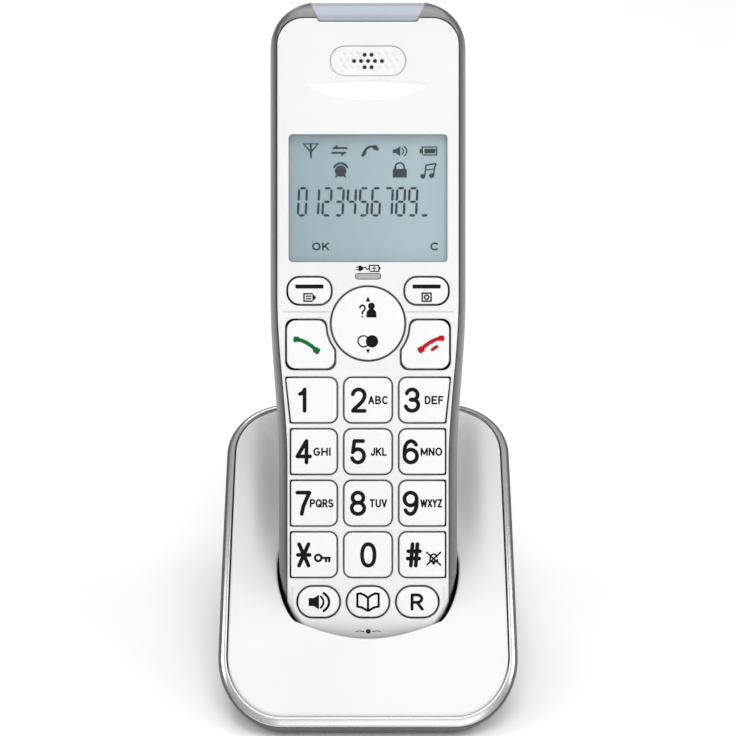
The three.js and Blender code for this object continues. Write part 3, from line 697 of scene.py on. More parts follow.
# Digits, capitals and signs as pen lines in a unit box
GLYPHS = {
    "0": hoop(0.5, 0.5, 0.5, 0.5, 2.3),
    "1": [[(1, 0), (1, 1)], [(0, 0.79), (0.5, 0.82), (0.98, 0.97)]],
    "2": [arc(0.5, 0.72, 0.5, 0.28, 170, -20) + [(0.84, 0.47), (0.58, 0.31), (0.27, 0.16), (0.04, 0.02)],
          [(0.02, 0), (1, 0)]],
    "3": [arc(0.49, 0.75, 0.45, 0.25, 165, -90), arc(0.48, 0.27, 0.52, 0.27, 90, -168),
          [(0.36, 0.52), (0.5, 0.52)]],
    "4": [[(0.72, 0), (0.72, 1), (0, 0.28), (1, 0.28)]],
    "5": [[(0.92, 1), (0.18, 1)], [(0.18, 1), (0.06, 0.5)], arc(0.48, 0.31, 0.52, 0.31, 148, -160)],
    "6": [*hoop(0.5, 0.3, 0.5, 0.3), arc(0.52, 0.5, 0.52, 0.5, 40, 180) + [(0, 0.3)]],
    "7": [[(0, 1), (1, 1)], [(1, 1), (0.72, 0.66), (0.5, 0.36), (0.36, 0)]],
    "8": [*hoop(0.5, 0.76, 0.43, 0.24), *hoop(0.5, 0.27, 0.5, 0.27)],
    "9": [*hoop(0.5, 0.7, 0.5, 0.3), arc(0.48, 0.5, 0.52, 0.5, 220, 360) + [(1, 0.7)]],
    "*": [[(0.1, 0), (0.9, 1)], [(0.1, 1), (0.9, 0)], [(0, 0.5), (1, 0.5)]],
    "#": [[(0.26, 0), (0.4, 1)], [(0.66, 0), (0.8, 1)], [(0.05, 0.67), (1, 0.67)], [(0, 0.33), (0.95, 0.33)]],
    "?": [arc(0.5, 0.74, 0.5, 0.26, 170, -50) + [(0.52, 0.42), (0.5, 0.26)], [(0.48, 0.01), (0.5, 0.0)]],
    "A": [[(0, 0), (0.5, 1), (1, 0)], [(0.2, 0.34), (0.8, 0.34)]],
    "B": [[(0.5, 1), (0, 1), (0, 0), (0.5, 0)], arc(0.5, 0.76, 0.4, 0.24, 90, -90), [(0, 0.52), (0.5, 0.52)],
          arc(0.5, 0.26, 0.5, 0.26, 90, -90)],
    "C": [arc(0.55, 0.5, 0.55, 0.5, 50, 310)],
    "D": [[(0.4, 0), (0, 0), (0, 1), (0.4, 1)], arc(0.4, 0.5, 0.6, 0.5, 90, -90)],
    "E": [[(1, 1), (0, 1), (0, 0), (1, 0)], [(0, 0.52), (0.85, 0.52)]],
    "F": [[(1, 1), (0, 1), (0, 0)], [(0, 0.5), (0.85, 0.5)]],
    "G": [arc(0.52, 0.5, 0.52, 0.5, 50, 330), [(0.62, 0.47), (1, 0.47), (1, 0.2)]],
    "H": [[(0, 0), (0, 1)], [(1, 0), (1, 1)], [(0, 0.5), (1, 0.5)]],
    "I": [[(0, 0), (0, 1)]],
    "J": [[(1, 1), (1, 0.3)], arc(0.5, 0.3, 0.5, 0.3, 0, -165)],
    "K": [[(0, 0), (0, 1)], [(1, 1), (0, 0.36)], [(0.34, 0.58), (1, 0)]],
    "L": [[(0, 1), (0, 0), (1, 0)]],
    "M": [[(0, 0), (0, 1), (0.5, 0.15), (1, 1), (1, 0)]],
    "N": [[(0, 0), (0, 1), (1, 0), (1, 1)]],
    "O": hoop(0.5, 0.5, 0.5, 0.5),
    "P": [[(0, 0), (0, 1), (0.5, 1)], arc(0.5, 0.74, 0.5, 0.26, 90, -90), [(0, 0.48), (0.5, 0.48)]],
    "Q": [*hoop(0.5, 0.5, 0.5, 0.5), [(0.62, 0.3), (1, 0)]],
    "R": [[(0, 0), (0, 1), (0.5, 1)], arc(0.5, 0.74, 0.45, 0.26, 90, -90), [(0, 0.48), (0.5, 0.48), (1, 0)]],
    "S": [arc(0.5, 0.75, 0.45, 0.25, 35, 270), arc(0.5, 0.25, 0.5, 0.25, 90, -150)],
    "T": [[(0, 1), (1, 1)], [(0.5, 1), (0.5, 0)]],
    "U": [[(0, 1), (0, 0.35)], arc(0.5, 0.35, 0.5, 0.35, 180, 360), [(1, 0.35), (1, 1)]],
    "V": [[(0, 1), (0.5, 0), (1, 1)]],
    "W": [[(0, 1), (0.25, 0), (0.5, 0.95), (0.75, 0), (1, 1)]],
    "X": [[(0, 0), (1, 1)], [(0, 1), (1, 0)]],
    "Y": [[(0, 1), (0.5, 0.48), (1, 1)], [(0.5, 0.48), (0.5, 0)]],
    "Z": [[(0, 1), (1, 1), (0, 0), (1, 0)]],
}
LETTER_WIDTHS = {"I": 0.0, "J": 0.55, "L": 0.6, "F": 0.65, "M": 1.0, "O": 0.95, "Q": 0.95, "W": 1.3}
LETTER_SPACE = 0.42


def pen(line, width):
    """A pen line as strokes that end at each sharp turn, so their outlines never cross themselves."""
    path = [Vector(p) for p in line]
    parts = [[path[0]]]
    for i in range(1, len(path)):
        parts[-1].append(path[i])
        if i + 1 < len(path) and (path[i] - path[i - 1]).angle(path[i + 1] - path[i]) > SHARP_TURN:
            parts.append([path[i]])
    return [stroke(part, width) for part in parts]


def glyph(sign, x0, x1, z0, z1, width):
    """A digit, capital or sign whose outline fills a box."""
    half = width / 2
    left, right, low, high = x0 + half, x1 - half, z0 + half, z1 - half
    shapes = []
    for line in GLYPHS[sign]:
        shapes += pen([(lerp(left, right, u), lerp(low, high, v)) for u, v in line], width)
    return shapes


def lettering(text, x0, x1, z0, z1, width):
    """Capitals whose line fills a box."""
    widths = [LETTER_WIDTHS.get(letter, 0.75) for letter in text]
    scale = (x1 - x0 - width) / (sum(widths) + LETTER_SPACE * (len(text) - 1))
    shapes = []
    x = x0
    for letter, share in zip(text, widths):
        shapes += glyph(letter, x, x + share * scale + width, z0, z1, width)
        x += (share + LETTER_SPACE) * scale
    return shapes


# ---- outlines on the handset's face ----

PANEL_LOW = 20.1
PANEL_TOP = 22.6
PANEL_BOTTOM = 0.4
PANEL_UPPER = 157.6
PANEL_TOP_CORNER = 6.6
PANEL_LOW_CORNER = 7

KEY_CORNER = 1.8
OUTER_CORNER = 0.5
FLARE = 1.24
NAV_RING = 10.7
CALL_CORNER = 2.2
CALL_SHOULDER = 1.9
SOFT_CORNER = 2.9
LENS_LOW = 12.2                      # half widths of the call alert lens
LENS_HIGH = 14.4
LENS_CORNER = 0.8
LENS_END = LENGTH - 0.45


def panel_half(z):
    return lerp(PANEL_LOW, PANEL_TOP, smoothstep(*WAIST, z))


def panel_outline(margin=0.0):
    """The outline of the white face panel, anticlockwise from its lower right corner."""
    steps = 24
    rows = [lerp(WAIST[0], WAIST[1], i / steps) for i in range(steps + 1)]
    side = [(panel_half(z) + margin, z) for z in rows]
    right = [(PANEL_LOW + margin, PANEL_BOTTOM - margin), *side, (PANEL_TOP + margin, PANEL_UPPER + margin)]
    left = [(-x, z) for x, z in reversed(right)]
    radii = [0] * (2 * len(right))
    radii[0] = radii[-1] = PANEL_LOW_CORNER
    radii[len(right) - 1] = radii[len(right)] = PANEL_TOP_CORNER
    return rounded(right + left, radii, 0.5)


def face_box(node, margin=0.0):
    low, high = local_box(node)
    return low.x - margin, high.x + margin, low.z - margin, high.z + margin


def pad_outline(name, margin):
    x0, x1, z0, z1 = face_box(name, margin)
    round_in = KEY_CORNER + margin
    if name in ("key_2", "key_5", "key_8", "key_0"):
        return box_outline(x0, x1, z0, z1, round_in)
    flare = FLARE if name in ("key_1", "key_3") else 0
    if x0 < 0:
        corners = [(x0 + flare, z0), (x1, z0), (x1, z1), (x0, z1)]
        return rounded(corners, [OUTER_CORNER, round_in, round_in, OUTER_CORNER])
    corners = [(x0, z0), (x1 - flare, z0), (x1, z1), (x0, z1)]
    return rounded(corners, [round_in, OUTER_CORNER, OUTER_CORNER, round_in])


def pill_outline(name, margin):
    x0, x1, z0, z1 = face_box(name, margin)
    return box_outline(x0, x1, z0, z1, (z1 - z0) / 2 - 0.05, 0.15)


def soft_outline(name, margin):
    return box_outline(*face_box(name, margin), SOFT_CORNER + margin)


def call_outline(name, margin):
    """A rounded square with one corner cut along the ring round the navigation key."""
    x0, x1, z0, z1 = face_box(name, margin)
    side = -1 if x0 < 0 else 1
    inner, outer = (abs(x1), abs(x0)) if side < 0 else (x0, x1)
    ring = NAV_RING - margin
    start = math.acos(inner / ring)
    end = math.asin((z1 - NAV_PIVOT.z) / ring) - 0.12
    steps = 6
    bend = [lerp(-start, end, i / steps) for i in range(steps + 1)]
    around = [(ring * math.cos(angle), NAV_PIVOT.z + ring * math.sin(angle)) for angle in bend]
    shoulder = (around[-1][0] + 0.15, z1)
    corners = [(outer, z0), (inner, z0), *around[:-2], shoulder, (outer, z1)]
    radii = [CALL_CORNER, CALL_CORNER, 1.0, *[0] * (steps - 2), CALL_SHOULDER, CALL_CORNER]
    return rounded([(side * x, z) for x, z in corners], radii)


def nav_outline(name, margin):
    x0, x1, z0, z1 = face_box(name, margin)
    return circle((x0 + x1) / 2, (z0 + z1) / 2, (x1 - x0) / 2, 96)


def slot_outline(node, margin):
    x0, x1, z0, z1 = face_box(node, margin)
    return box_outline(x0, x1, z0, z1, (z1 - z0) / 2 - 0.05, 0.1)


def screen_outline(margin):
    return box_outline(*face_box("lcd_window", margin), 1.0)


def lens_outline(margin, rise=LENGTH + 2):
    foot = local_box("call_alert_lens")[0].z - margin
    low, high = LENS_LOW + margin, LENS_HIGH + margin
    corners = [(-low, foot), (low, foot), (high, rise), (-high, rise)]
    return rounded(corners, [LENS_CORNER, LENS_CORNER, 0, 0])


PAD_KEYS = [f"key_{digit}" for digit in range(10)] + ["key_star", "key_hash"]
KEYS = {name: pad_outline for name in PAD_KEYS}
KEYS.update({name: pill_outline for name in ("key_speakerphone", "key_phonebook", "key_recall")})
KEYS.update({"softkey_left": soft_outline, "softkey_right": soft_outline})
KEYS.update({"call_key": call_outline, "end_key": call_outline, "nav_key": nav_outline})

# ---- the face panel ----

PAD_GAP = 0.38
WIDE_GAP = 0.48
PANEL_THICKNESS = 1.6
EDGE_ROUND = 0.24
SCOOP_TOP = 142.4
SCOOP_HALF = 15.3
SCOOP_DROP = 5.3
SCOOP_DEPTH = 0.8
GROOVE_WIDTH = 0.28
GROOVE_DEPTH = 0.28
CREASE_HEIGHT = 84.3
CREASE_ENDS = (9.6, 21.2)
MICROPHONE_HOLE = (0.05, 4.5)
MICROPHONE_RADIUS = 0.6
PAD_CLEARANCE = 0.08
LIGHT_CLEARANCE = 0.12
PAINTED_HIGHLIGHT_REACH = 1.2       # how deep the crescent's painted highlight goes


def scoop(x, z):
    """Depth of the crescent below the earpiece, which is deepest along its upper edge."""
    share = 1 - (x / SCOOP_HALF) ** 2
    if share <= 0:
        return 0
    top = SCOOP_TOP - 1 + share
    low = SCOOP_TOP - SCOOP_DROP * share ** 0.5
    if not low < z < top:
        return 0
    edge = min(1, (top - z) / 0.35)
    return SCOOP_DEPTH * edge * (z - low) / (top - low) * min(1, 2.2 * share ** 0.5)


def panel_surface(x, z):
    return Vector((x, face_depth(z) + scoop(x, z), z))


def groove(points):
    """A cutter for a fine line engraved in the face."""
    return prism("groove", stroke(points, GROOVE_WIDTH), -3, GROOVE_DEPTH)


def scoop_outline():
    """The crescent's edge, anticlockwise from its left tip."""
    steps = 44
    turns = [math.pi * (1 - i / steps) for i in range(steps + 1)]
    low = [(SCOOP_HALF * math.cos(a), SCOOP_TOP - SCOOP_DROP * math.sin(a)) for a in turns]
    high = [(x, SCOOP_TOP - (x / SCOOP_HALF) ** 2) for x, _ in low[-2:0:-1]]
    return [Vector(p) for p in low + high]


def make_front():
    holes = [make(name, PAD_GAP if make is pad_outline else WIDE_GAP) for name, make in KEYS.items()]
    holes += [screen_outline(GAP), slot_outline("earpiece_pad", PAD_CLEARANCE),
              slot_outline("charge_led_lens", LIGHT_CLEARANCE)]
    holes.append(circle(*MICROPHONE_HOLE, MICROPHONE_RADIUS, 24))
    shell = plate("front_shell", panel_surface, panel_outline(), "handset", WHITE, HANDSET, holes=holes,
                  depth=PANEL_THICKNESS, radius=EDGE_ROUND, spacing=0.9, detail=scoop_outline())
    shell.modifiers.clear()
    cutters = [prism("lens", lens_outline(0.25), -3, 6)]
    for side in (-1, 1):
        cutters.append(groove([(side * x, CREASE_HEIGHT) for x in CREASE_ENDS]))
        cutters.append(groove([(side * 18.75, 4.9), (side * 18.75, 10), (side * 18.9, 15.6)]))
    combine(shell, cutters)
    clip(shell, handset_solid("end", 0.02))
    # Painted highlight: faces in the crescent take the lighter white, which stands in for the light the scoop
    # catches.
    shell.data.materials.append(SCOOP_PAINTED_HIGHLIGHT)
    for face in shell.data.polygons:
        middle = FROM_WORLD @ face.center
        if scoop(middle.x, middle.z) > 0 and middle.y < PAINTED_HIGHLIGHT_REACH:
            face.material_index = 1
    weigh_normals(shell)
    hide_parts("handset_front_shell")


HOLE_PITCH = 1.74
ROW_PITCH = 1.55
HOLE_RADIUS = 0.5
DIMPLE_DEPTH = 0.22
DIMPLE_RADIUS = 0.62
# Row, holes and dimples in it, and how many of them go through
DIMPLE_ROWS = ((1, 8, 2), (0, 9, 5), (-1, 8, 2))


def dimples():
    """Middles of the earpiece's holes, and of the blind dimples that carry on their pattern."""
    middle = middle_of("earpiece_pad").z
    holes = []
    blind = []
    for row, count, through in DIMPLE_ROWS:
        for i in range(count):
            place = i - (count - 1) / 2
            spot = Vector((place * HOLE_PITCH, middle + row * ROW_PITCH))
            (holes if abs(place) < through / 2 else blind).append(spot)
    return holes, blind


def make_earpiece():
    holes, blind = dimples()
    front = local_box("earpiece_pad")[0].y

    def surface(x, z):
        near = min((spot - Vector((x, z))).length for spot in blind)
        return Vector((x, front + DIMPLE_DEPTH * max(0, 1 - (near / DIMPLE_RADIUS) ** 2), z))

    rims = [circle(spot.x, spot.y, HOLE_RADIUS, 20) for spot in holes]
    pad = plate("earpiece_cover", surface, slot_outline("earpiece_pad", 0), "handset", WHITE, HANDSET,
                holes=rims, depth=1.3, radius=0.3, spacing=0.26)
    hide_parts("earpiece_pad")


# ---- the silver shell, its door and the alert lens ----

DOOR_CORNER = 2.0
BAY_WALL = 0.6
CONTACT_CLEARANCE = 0.2
SKIN = -0.1                          # the silver shell is a little inside the handset's form
FAR = 40                             # a level well behind the handset
SCREW_WELL = 2.9
LENS_GAP = 0.22
BAY_LIP = 1.2                       # how far the door overlaps the bay's rim
RINGER_SLOTS = 5
SLOT_PITCH = 2.4
FINGER_PITCH = 1.7


def handset_solid(name, grow):
    """The whole handset as one closed form, grown or shrunk by a distance."""
    low_end = [0, 0.05, 0.2, 0.5, 1, 1.7, 2.6, 3.8, 5.2, 7, 9, 11.5, 15, 19, 23]
    top_end = [LENGTH - d for d in (15, 11, 9, 7.5, 6, 4.6, 3.4, 2.4, 1.6, 1, 0.5, 0.2, 0.05, 0)]
    rows = [*low_end, *range(27, 145, 4), *top_end]
    if grow < 0:
        rows = [-grow, *[z for z in rows if -grow < z < LENGTH + grow], LENGTH + grow]
    rings = []
    for z in rows:
        shift = -grow if z == 0 else grow if z == LENGTH else 0
        rings.append([(x, y, z + shift) for x, y in handset_ring(z, grow, front_steps=8)])
    return loft(name, rings, HANDSET)


def door_outline(margin):
    return box_outline(*face_box("battery_door", GAP + margin), DOOR_CORNER + margin)


def make_rear_shell():
    shell = handset_solid("rear_shell", SKIN)
    inner = handset_solid("inner", -WALL)
    door_back = local_box("battery_door")[1].y
    bay_floor = local_box("battery_cell_left")[0].y - 0.35
    bay = prism("bay", door_outline(BAY_WALL), bay_floor - 1, door_back - 1.2)
    lens_back = local_box("call_alert_lens")[1].y
    cutters = [
        prism("panel", panel_outline(0.2), -4, 3.4),
        prism("lens", lens_outline(LENS_GAP), -4, lens_back + LENS_GAP),
        prism("bay", door_outline(-BAY_LIP), bay_floor, FAR),
        prism("rebate", door_outline(-0.08), door_back - 2.6, FAR),
    ]
    for side in ("left", "right"):
        screw = middle_of(f"handset_screw_{side}")
        seat = local_box(f"handset_screw_{side}")[1].y - 2
        cutters.append(prism("well", circle(screw.x, screw.z, SCREW_WELL, 40), seat, FAR))
        low, high = local_box(f"handset_contact_{side}")
        edge = CONTACT_CLEARANCE
        outline = box_outline(low.x - edge, high.x + edge, -3, high.z + 2, 0)
        cutters.append(prism("contact", outline, low.y - edge, high.y + edge))
    speaker_back = local_box("ringer_speaker")[1].y
    for i in range(RINGER_SLOTS):
        step = i - RINGER_SLOTS // 2
        half = 6.0 - 0.9 * abs(step)
        z = middle_of("ringer_speaker").z + step * SLOT_PITCH
        slot = box_outline(-half, half, z - 0.6, z + 0.6, 0.58, 0.1)
        cutters.append(prism("slot", slot, speaker_back, FAR))
    combine(shell, [inner])
    combine(shell, [bay], "UNION")
    combine(shell, cutters)
    finish_mesh(shell, "handset", SILVER, 28)
    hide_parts("handset_rear_shell")


def make_door():
    door = combine(handset_solid("battery_cover", SKIN), [handset_solid("inner", -WALL)])
    clip(door, prism("keep", door_outline(-0.24), 9, FAR))
    low, high = local_box("battery_door")
    for i in range(-2, 3):
        z = low.z + 10.4 + i * FINGER_PITCH
        half = 4.6 - 0.25 * i ** 2
        outline = box_outline(-half, half, z - 0.3, z + 0.3, 0.28, 0.1)
        combine(door, [prism("finger_groove", outline, high.y - 0.55, FAR)])
    finish_mesh(door, "battery_door", SILVER, 28)
    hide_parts("battery_door")


def make_alert_lens():
    lens = combine(handset_solid("alert_lens", 0), [handset_solid("inner", -WALL)])
    clip(lens, prism("keep", lens_outline(0, LENS_END), -4, local_box("call_alert_lens")[1].y))
    finish_mesh(lens, "handset", ICE, 30)
    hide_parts("call_alert_lens")


def make_charge_light():
    low, high = local_box("charge_led_lens")

    def surface(x, z):
        return Vector((x, low.y + 0.03, z))

    bar_lens = plate("charge_light", surface, slot_outline("charge_led_lens", 0), "handset", LED, HANDSET,
                     depth=high.y - low.y - 0.1, radius=0.2, spacing=0.5)
    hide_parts("charge_led_lens")


# ---- keys and what is printed on them ----

KEY_DOME = 0.14
KEY_ROUND = 0.34
DIGIT_WIDTH = 0.96
DIGIT_HALF_HEIGHT = 3.15
LETTER_HALF_HEIGHT = 1.05
LETTER_WIDTH = 0.42
FINE = 0.58
CALL_SHIFT = Vector((-0.75, -0.15))
END_SHIFT = Vector((1.15, 0.1))

# Sign, its left and right edges, letters and their left and right edges, from the key's middle
PAD_LEGENDS = {
    "key_1": ("1", -3.3, -1.2, "", 0, 0),
    "key_2": ("2", -4.3, -0.35, "ABC", 0.05, 5.0),
    "key_3": ("3", -5.1, -1.1, "DEF", 0.0, 4.7),
    "key_4": ("4", -4.6, -0.45, "GHI", -0.1, 4.2),
    "key_5": ("5", -4.4, -0.5, "JKL", 0.65, 4.7),
    "key_6": ("6", -4.9, -0.8, "MNO", -0.4, 5.0),
    "key_7": ("7", -4.6, -0.6, "PQRS", -1.0, 4.9),
    "key_8": ("8", -4.55, -0.45, "TUV", 0.35, 4.75),
    "key_9": ("9", -4.9, -0.9, "WXYZ", -0.5, 5.0),
    "key_star": ("*", -4.45, -0.55, "", 0, 0),
    "key_0": ("0", -1.95, 2.1, "", 0, 0),
    "key_hash": ("#", -4.1, -0.1, "", 0, 0),
}


def pad_marks(name):
    sign, x0, x1, letters, x2, x3 = PAD_LEGENDS[name]
    shapes = glyph(sign, x0, x1, -DIGIT_HALF_HEIGHT, DIGIT_HALF_HEIGHT, DIGIT_WIDTH)
    if letters:
        shapes += lettering(letters, x2, x3, -LETTER_HALF_HEIGHT, LETTER_HALF_HEIGHT, LETTER_WIDTH)
    if name == "key_star":
        shapes += lock_mark()
    if name == "key_hash":
        shapes += silent_mark()
    return shapes


def lock_mark():
    """A small key lying on its side."""
    shank = [[(2.1, -0.75), (4.0, -0.75)], [(3.05, -0.8), (3.05, -1.6)], [(3.85, -0.8), (3.85, -1.6)]]
    return ring_mark(1.1, -0.75, 1.08, FINE) + [stroke(line, FINE) for line in shank]


def silent_mark():
    """A bell crossed out."""
    x, z = 2.85, -0.9
    bell = arc(x, z + 0.05, 0.85, 1.05, 0, 180)
    bell += [(x - 0.95, z - 0.75), (x + 0.95, z - 0.75), (x + 0.85, z + 0.05)]
    crosses = [[(x - side * 1.7, z + 1.5), (x + side * 1.7, z - 1.6)] for side in (1, -1)]
    return [stroke(bell, 0.42), stroke(crosses[0], 0.42), disc(x, z - 1.1, 0.42), stroke(crosses[1], 0.42)]


def speaker_mark():
    box = polygon((-2.5, -1.0), (-1.25, -1.0), (0.1, -1.85), (0.1, 1.85), (-1.25, 1.0), (-2.5, 1.0))
    near = arc(-0.9, 0, 2.1, 1.9, -48, 48)
    far = arc(-0.9, 0, 3.5, 2.8, -52, 52)
    return [box, stroke(near, 0.5), stroke(far, 0.62)]


def book_mark():
    marks = [stroke([(0, 1.05), (0, -2.2)], FINE)]
    for side in (-1, 1):
        page = [(0, 1.05), (side * 0.9, 1.75), (side * 1.9, 2.15), (side * 2.65, 2.0), (side * 2.65, -1.1),
                (side * 1.5, -1.35), (0, -2.2)]
        marks.append(stroke(page, FINE))
    return marks


def recall_mark():
    return glyph("R", -1.7, 1.6, -2.15, 2.15, 0.74)


SOFT_BAR = bar(-3.5, 3.5, 0.55, 1.55, 0.12)


def menu_mark():
    """A bar over a small page with lines and an arrow."""
    page = stroke([(0.7, -2.6), (-1.35, -2.6), (-1.35, -0.75), (0.7, -0.75)], 0.36)
    arrow = polygon((0.75, -0.65), (1.75, -1.7), (0.75, -2.7))
    lines = [stroke([(-0.85, z), (0.4, z)], 0.34) for z in (-1.35, -2.0)]
    return [SOFT_BAR, page, arrow, *lines]


def directory_mark():
    """A bar over a small framed disc."""
    sides = stroke([(-1.1, -2.6), (-1.1, -0.6), (1.1, -0.6), (1.1, -2.6)], 0.38)
    foot = stroke([(-1.1, -2.6), (1.1, -2.6)], 0.38)
    return [SOFT_BAR, sides, foot, *ring_mark(0, -1.6, 0.72, 0.38)]


def nav_marks():
    up = polygon((-0.6, 5.45), (0.6, 5.45), (0, 6.75))
    down = polygon((-0.55, -6.45), (0, -7.5), (0.55, -6.45))
    question = glyph("?", -2.25, -0.55, 1.45, 4.75, 0.44)
    shoulders = polygon((-0.45, 1.5), (2.15, 1.5), (2.05, 2.9), (1.35, 3.7), (0.4, 3.7), (-0.35, 2.9),
                        radius=0.2)
    person = [disc(0.85, 4.35, 0.85), shoulders]
    discs = [*ring_mark(-1.1, -4.45, 1.55, 0.36), disc(1.0, -4.45, 1.55)]
    return [up, down, *question, *person, *discs]


def handset_mark(lean):
    """A telephone handset as a curved grip with two ends. lean is 1 if it falls to the right, else -1."""
    grip = [(-2.9, 1.45), (-1.6, 1.2), (-0.3, 0.6), (1.0, -0.25), (2.2, -1.3)]
    ends = [[(-3.1, 1.75), (-3.1, 1.1)], [(-2.5, 1.7), (-2.4, 1.2)], [(2.3, -1.9), (2.75, -1.25)],
            [(1.75, -1.5), (2.2, -0.95)]]
    lines = [(grip, 0.95)] + [(end, 0.9) for end in ends]
    return [stroke([(lean * x, z) for x, z in line], width) for line, width in lines]


def call_marks():
    return [[p + CALL_SHIFT for p in shape] for shape in handset_mark(1)]


def end_marks():
    dash = stroke([(0.55, -1.4), (1.65, -0.65)], 0.85)
    return [[p + END_SHIFT for p in shape] for shape in [*handset_mark(-1), dash]]


MARKS = {name: (pad_marks(name), INK) for name in PAD_LEGENDS}
MARKS.update({
    "key_speakerphone": (speaker_mark(), INK), "key_phonebook": (book_mark(), INK),
    "key_recall": (recall_mark(), INK), "softkey_left": (menu_mark(), INK),
    "softkey_right": (directory_mark(), INK), "nav_key": (nav_marks(), INK),
    "call_key": (call_marks(), GREEN_INK), "end_key": (end_marks(), RED_INK),
})


def make_key(name, outline):
    low, high = local_box(name)
    middle = middle_of(name).xz
    loop = outline(name, 0.0)
    reach = max((p - middle).length for p in loop)

    def top(x, z):
        share = min(1, (Vector((x, z)) - middle).length / reach)
        return Vector((x, low.y + KEY_DOME * share ** 2, z))

    cap = plate(name + "_cap", top, loop, name, KEY_WHITE, HANDSET, depth=high.y - low.y - KEY_DOME,
                radius=KEY_ROUND, spacing=1.1, steps=5)
    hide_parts(name)
    shapes, ink = MARKS[name]
    print_on(name + "_legend", name, ink, lambda x, z: top(x + middle.x, z + middle.y), [flatten(shapes)])


# ---- the display ----

SEGMENTS = {"a": (0, 2, 1, 2), "b": (1, 2, 1, 1), "c": (1, 1, 1, 0), "d": (0, 0, 1, 0), "e": (0, 1, 0, 0),
            "f": (0, 2, 0, 1), "g": (0, 1, 1, 1)}
LIT = ["abcdef", "bc", "abdeg", "abcdg", "bcfg", "acdfg", "acdefg", "abc", "abcdefg", "abcdfg"]
CELL_WIDTH = 1.95
CELL_STEP = 3.4
CELL_PITCH = 3.07
CELL_SLANT = 0.05
SEGMENT_WIDTH = 0.62
SEGMENT_TRIM = 0.16
DIGITS_START = (-17.55, -4.15)
SMALL_LETTERS = (-12.95, -10.9, 0.42)     # low and high edge, and pen width


def segment(name, x, z):
    """One bar of a seven-segment digit whose lower left corner is at x, z."""
    u0, v0, u1, v1 = SEGMENTS[name]
    start = Vector((u0 * CELL_WIDTH, v0 * CELL_STEP))
    end = Vector((u1 * CELL_WIDTH, v1 * CELL_STEP))
    along = (end - start).normalized()
    side = Vector((-along.y, along.x)) * SEGMENT_WIDTH / 2
    trim = along * SEGMENT_TRIM
    tip = along * SEGMENT_WIDTH / 2
    corners = [start + trim, start + trim + tip + side, end - trim - tip + side, end - trim,
               end - trim - tip - side, start + trim + tip - side]
    return [Vector((x + p.x + CELL_SLANT * p.y, z + p.y)) for p in corners]


def display_digits():
    """Ten digits and a cursor, each as the names of its lit bars."""
    x, z = DIGITS_START
    return [segment(name, x + place * CELL_PITCH, z)
            for place, lit in enumerate([*LIT, "d"]) for name in lit]


def display_icons():
    """Status icons of the display: two rows above the digits, from the window's middle."""
    mast = [stroke([(-14.3, 10.35), (-14.3, 13.75)], 0.5),
            stroke([(-14.3, 11.7), (-16.1, 13.75), (-12.5, 13.75), (-14.3, 11.7)], 0.42)]
    arrows = [stroke([(-8.6, 12.7), (-5.3, 12.7)], 0.5), polygon((-9.0, 12.5), (-7.6, 13.6), (-7.6, 12.5)),
              stroke([(-9.0, 11.5), (-5.7, 11.5)], 0.5), polygon((-5.3, 11.7), (-6.7, 11.7), (-6.7, 10.6))]
    grip = [stroke([(-1.3, 11.0), (-0.7, 12.2), (0.3, 13.0), (2.1, 13.1)], 0.62),
            stroke([(-1.3, 10.9), (-0.7, 11.5)], 0.75), stroke([(1.6, 12.6), (2.4, 12.4)], 0.75)]
    speaker = [polygon((6.2, 11.4), (7.0, 11.4), (8.1, 10.6), (8.1, 13.2), (7.0, 12.4), (6.2, 12.4)),
               stroke(arc(7.9, 11.9, 0.95, 1.0, -50, 50, steps=8), 0.3),
               stroke(arc(7.9, 11.9, 1.8, 1.5, -50, 50, steps=8), 0.34)]
    battery = [stroke([(13.6, 10.95), (17.2, 10.95), (17.2, 12.95), (13.6, 12.95), (13.6, 10.95)], 0.32),
               bar(12.9, 13.5, 11.4, 12.5, 0.05), bar(14.1, 16.9, 11.35, 12.55, 0.05)]
    clock = [disc(-6.85, 6.95, 1.45), stroke(arc(-6.85, 6.6, 2.0, 2.3, 35, 145, steps=10), 0.55),
             stroke([(-7.7, 5.9), (-8.1, 5.4)], 0.4), stroke([(-6.0, 5.9), (-5.6, 5.4)], 0.4)]
    shackle = [(6.85, 7.4), (6.85, 8.0)] + arc(7.95, 8.0, 1.1, 1.0, 180, 0) + [(9.05, 7.4)]
    padlock = [bar(6.2, 9.7, 5.3, 7.5, 0.15), stroke(shackle, 0.42)]
    notes = [disc(13.7, 5.6, 0.62), disc(15.9, 5.8, 0.62),
             stroke([(14.2, 5.6), (14.5, 8.4), (16.9, 8.8)], 0.4),
             stroke([(16.4, 5.8), (16.6, 7.8), (17.0, 8.6)], 0.4), stroke([(14.4, 7.2), (16.6, 7.5)], 0.3)]
    return mast + arrows + grip + speaker + battery + clock + padlock + notes


def make_display():
    middle = middle_of("lcd_window")
    front = local_box("lcd_panel")[0].y
    words = lettering("OK", -14.0, -9.7, *SMALL_LETTERS) + lettering("C", 15.6, 17.7, *SMALL_LETTERS)
    sheets = [flatten(display_digits()), flatten(display_icons()), flatten(words)]
    print_on("display_marks", "handset", LCD_INK, lambda x, z: Vector((x + middle.x, front, z + middle.z)),
             sheets)


def make_microphone_marks():
    """Two fine curved lines beside the microphone's hole: moulded lines, drawn in black ink as painted shade.
    """
    x, z = MICROPHONE_HOLE
    lines = []
    for side in (-1, 1):
        curve = [(x + side * 1.1, z + 0.05), (x + side * 2.2, z + 0.25), (x + side * 3.2, z)]
        lines.append(stroke(curve, 0.22, 0.14))
    print_on("microphone_shade_lines", "handset", INK, panel_surface, [flatten(lines)])


SYMBOL_HEIGHT = 95.15


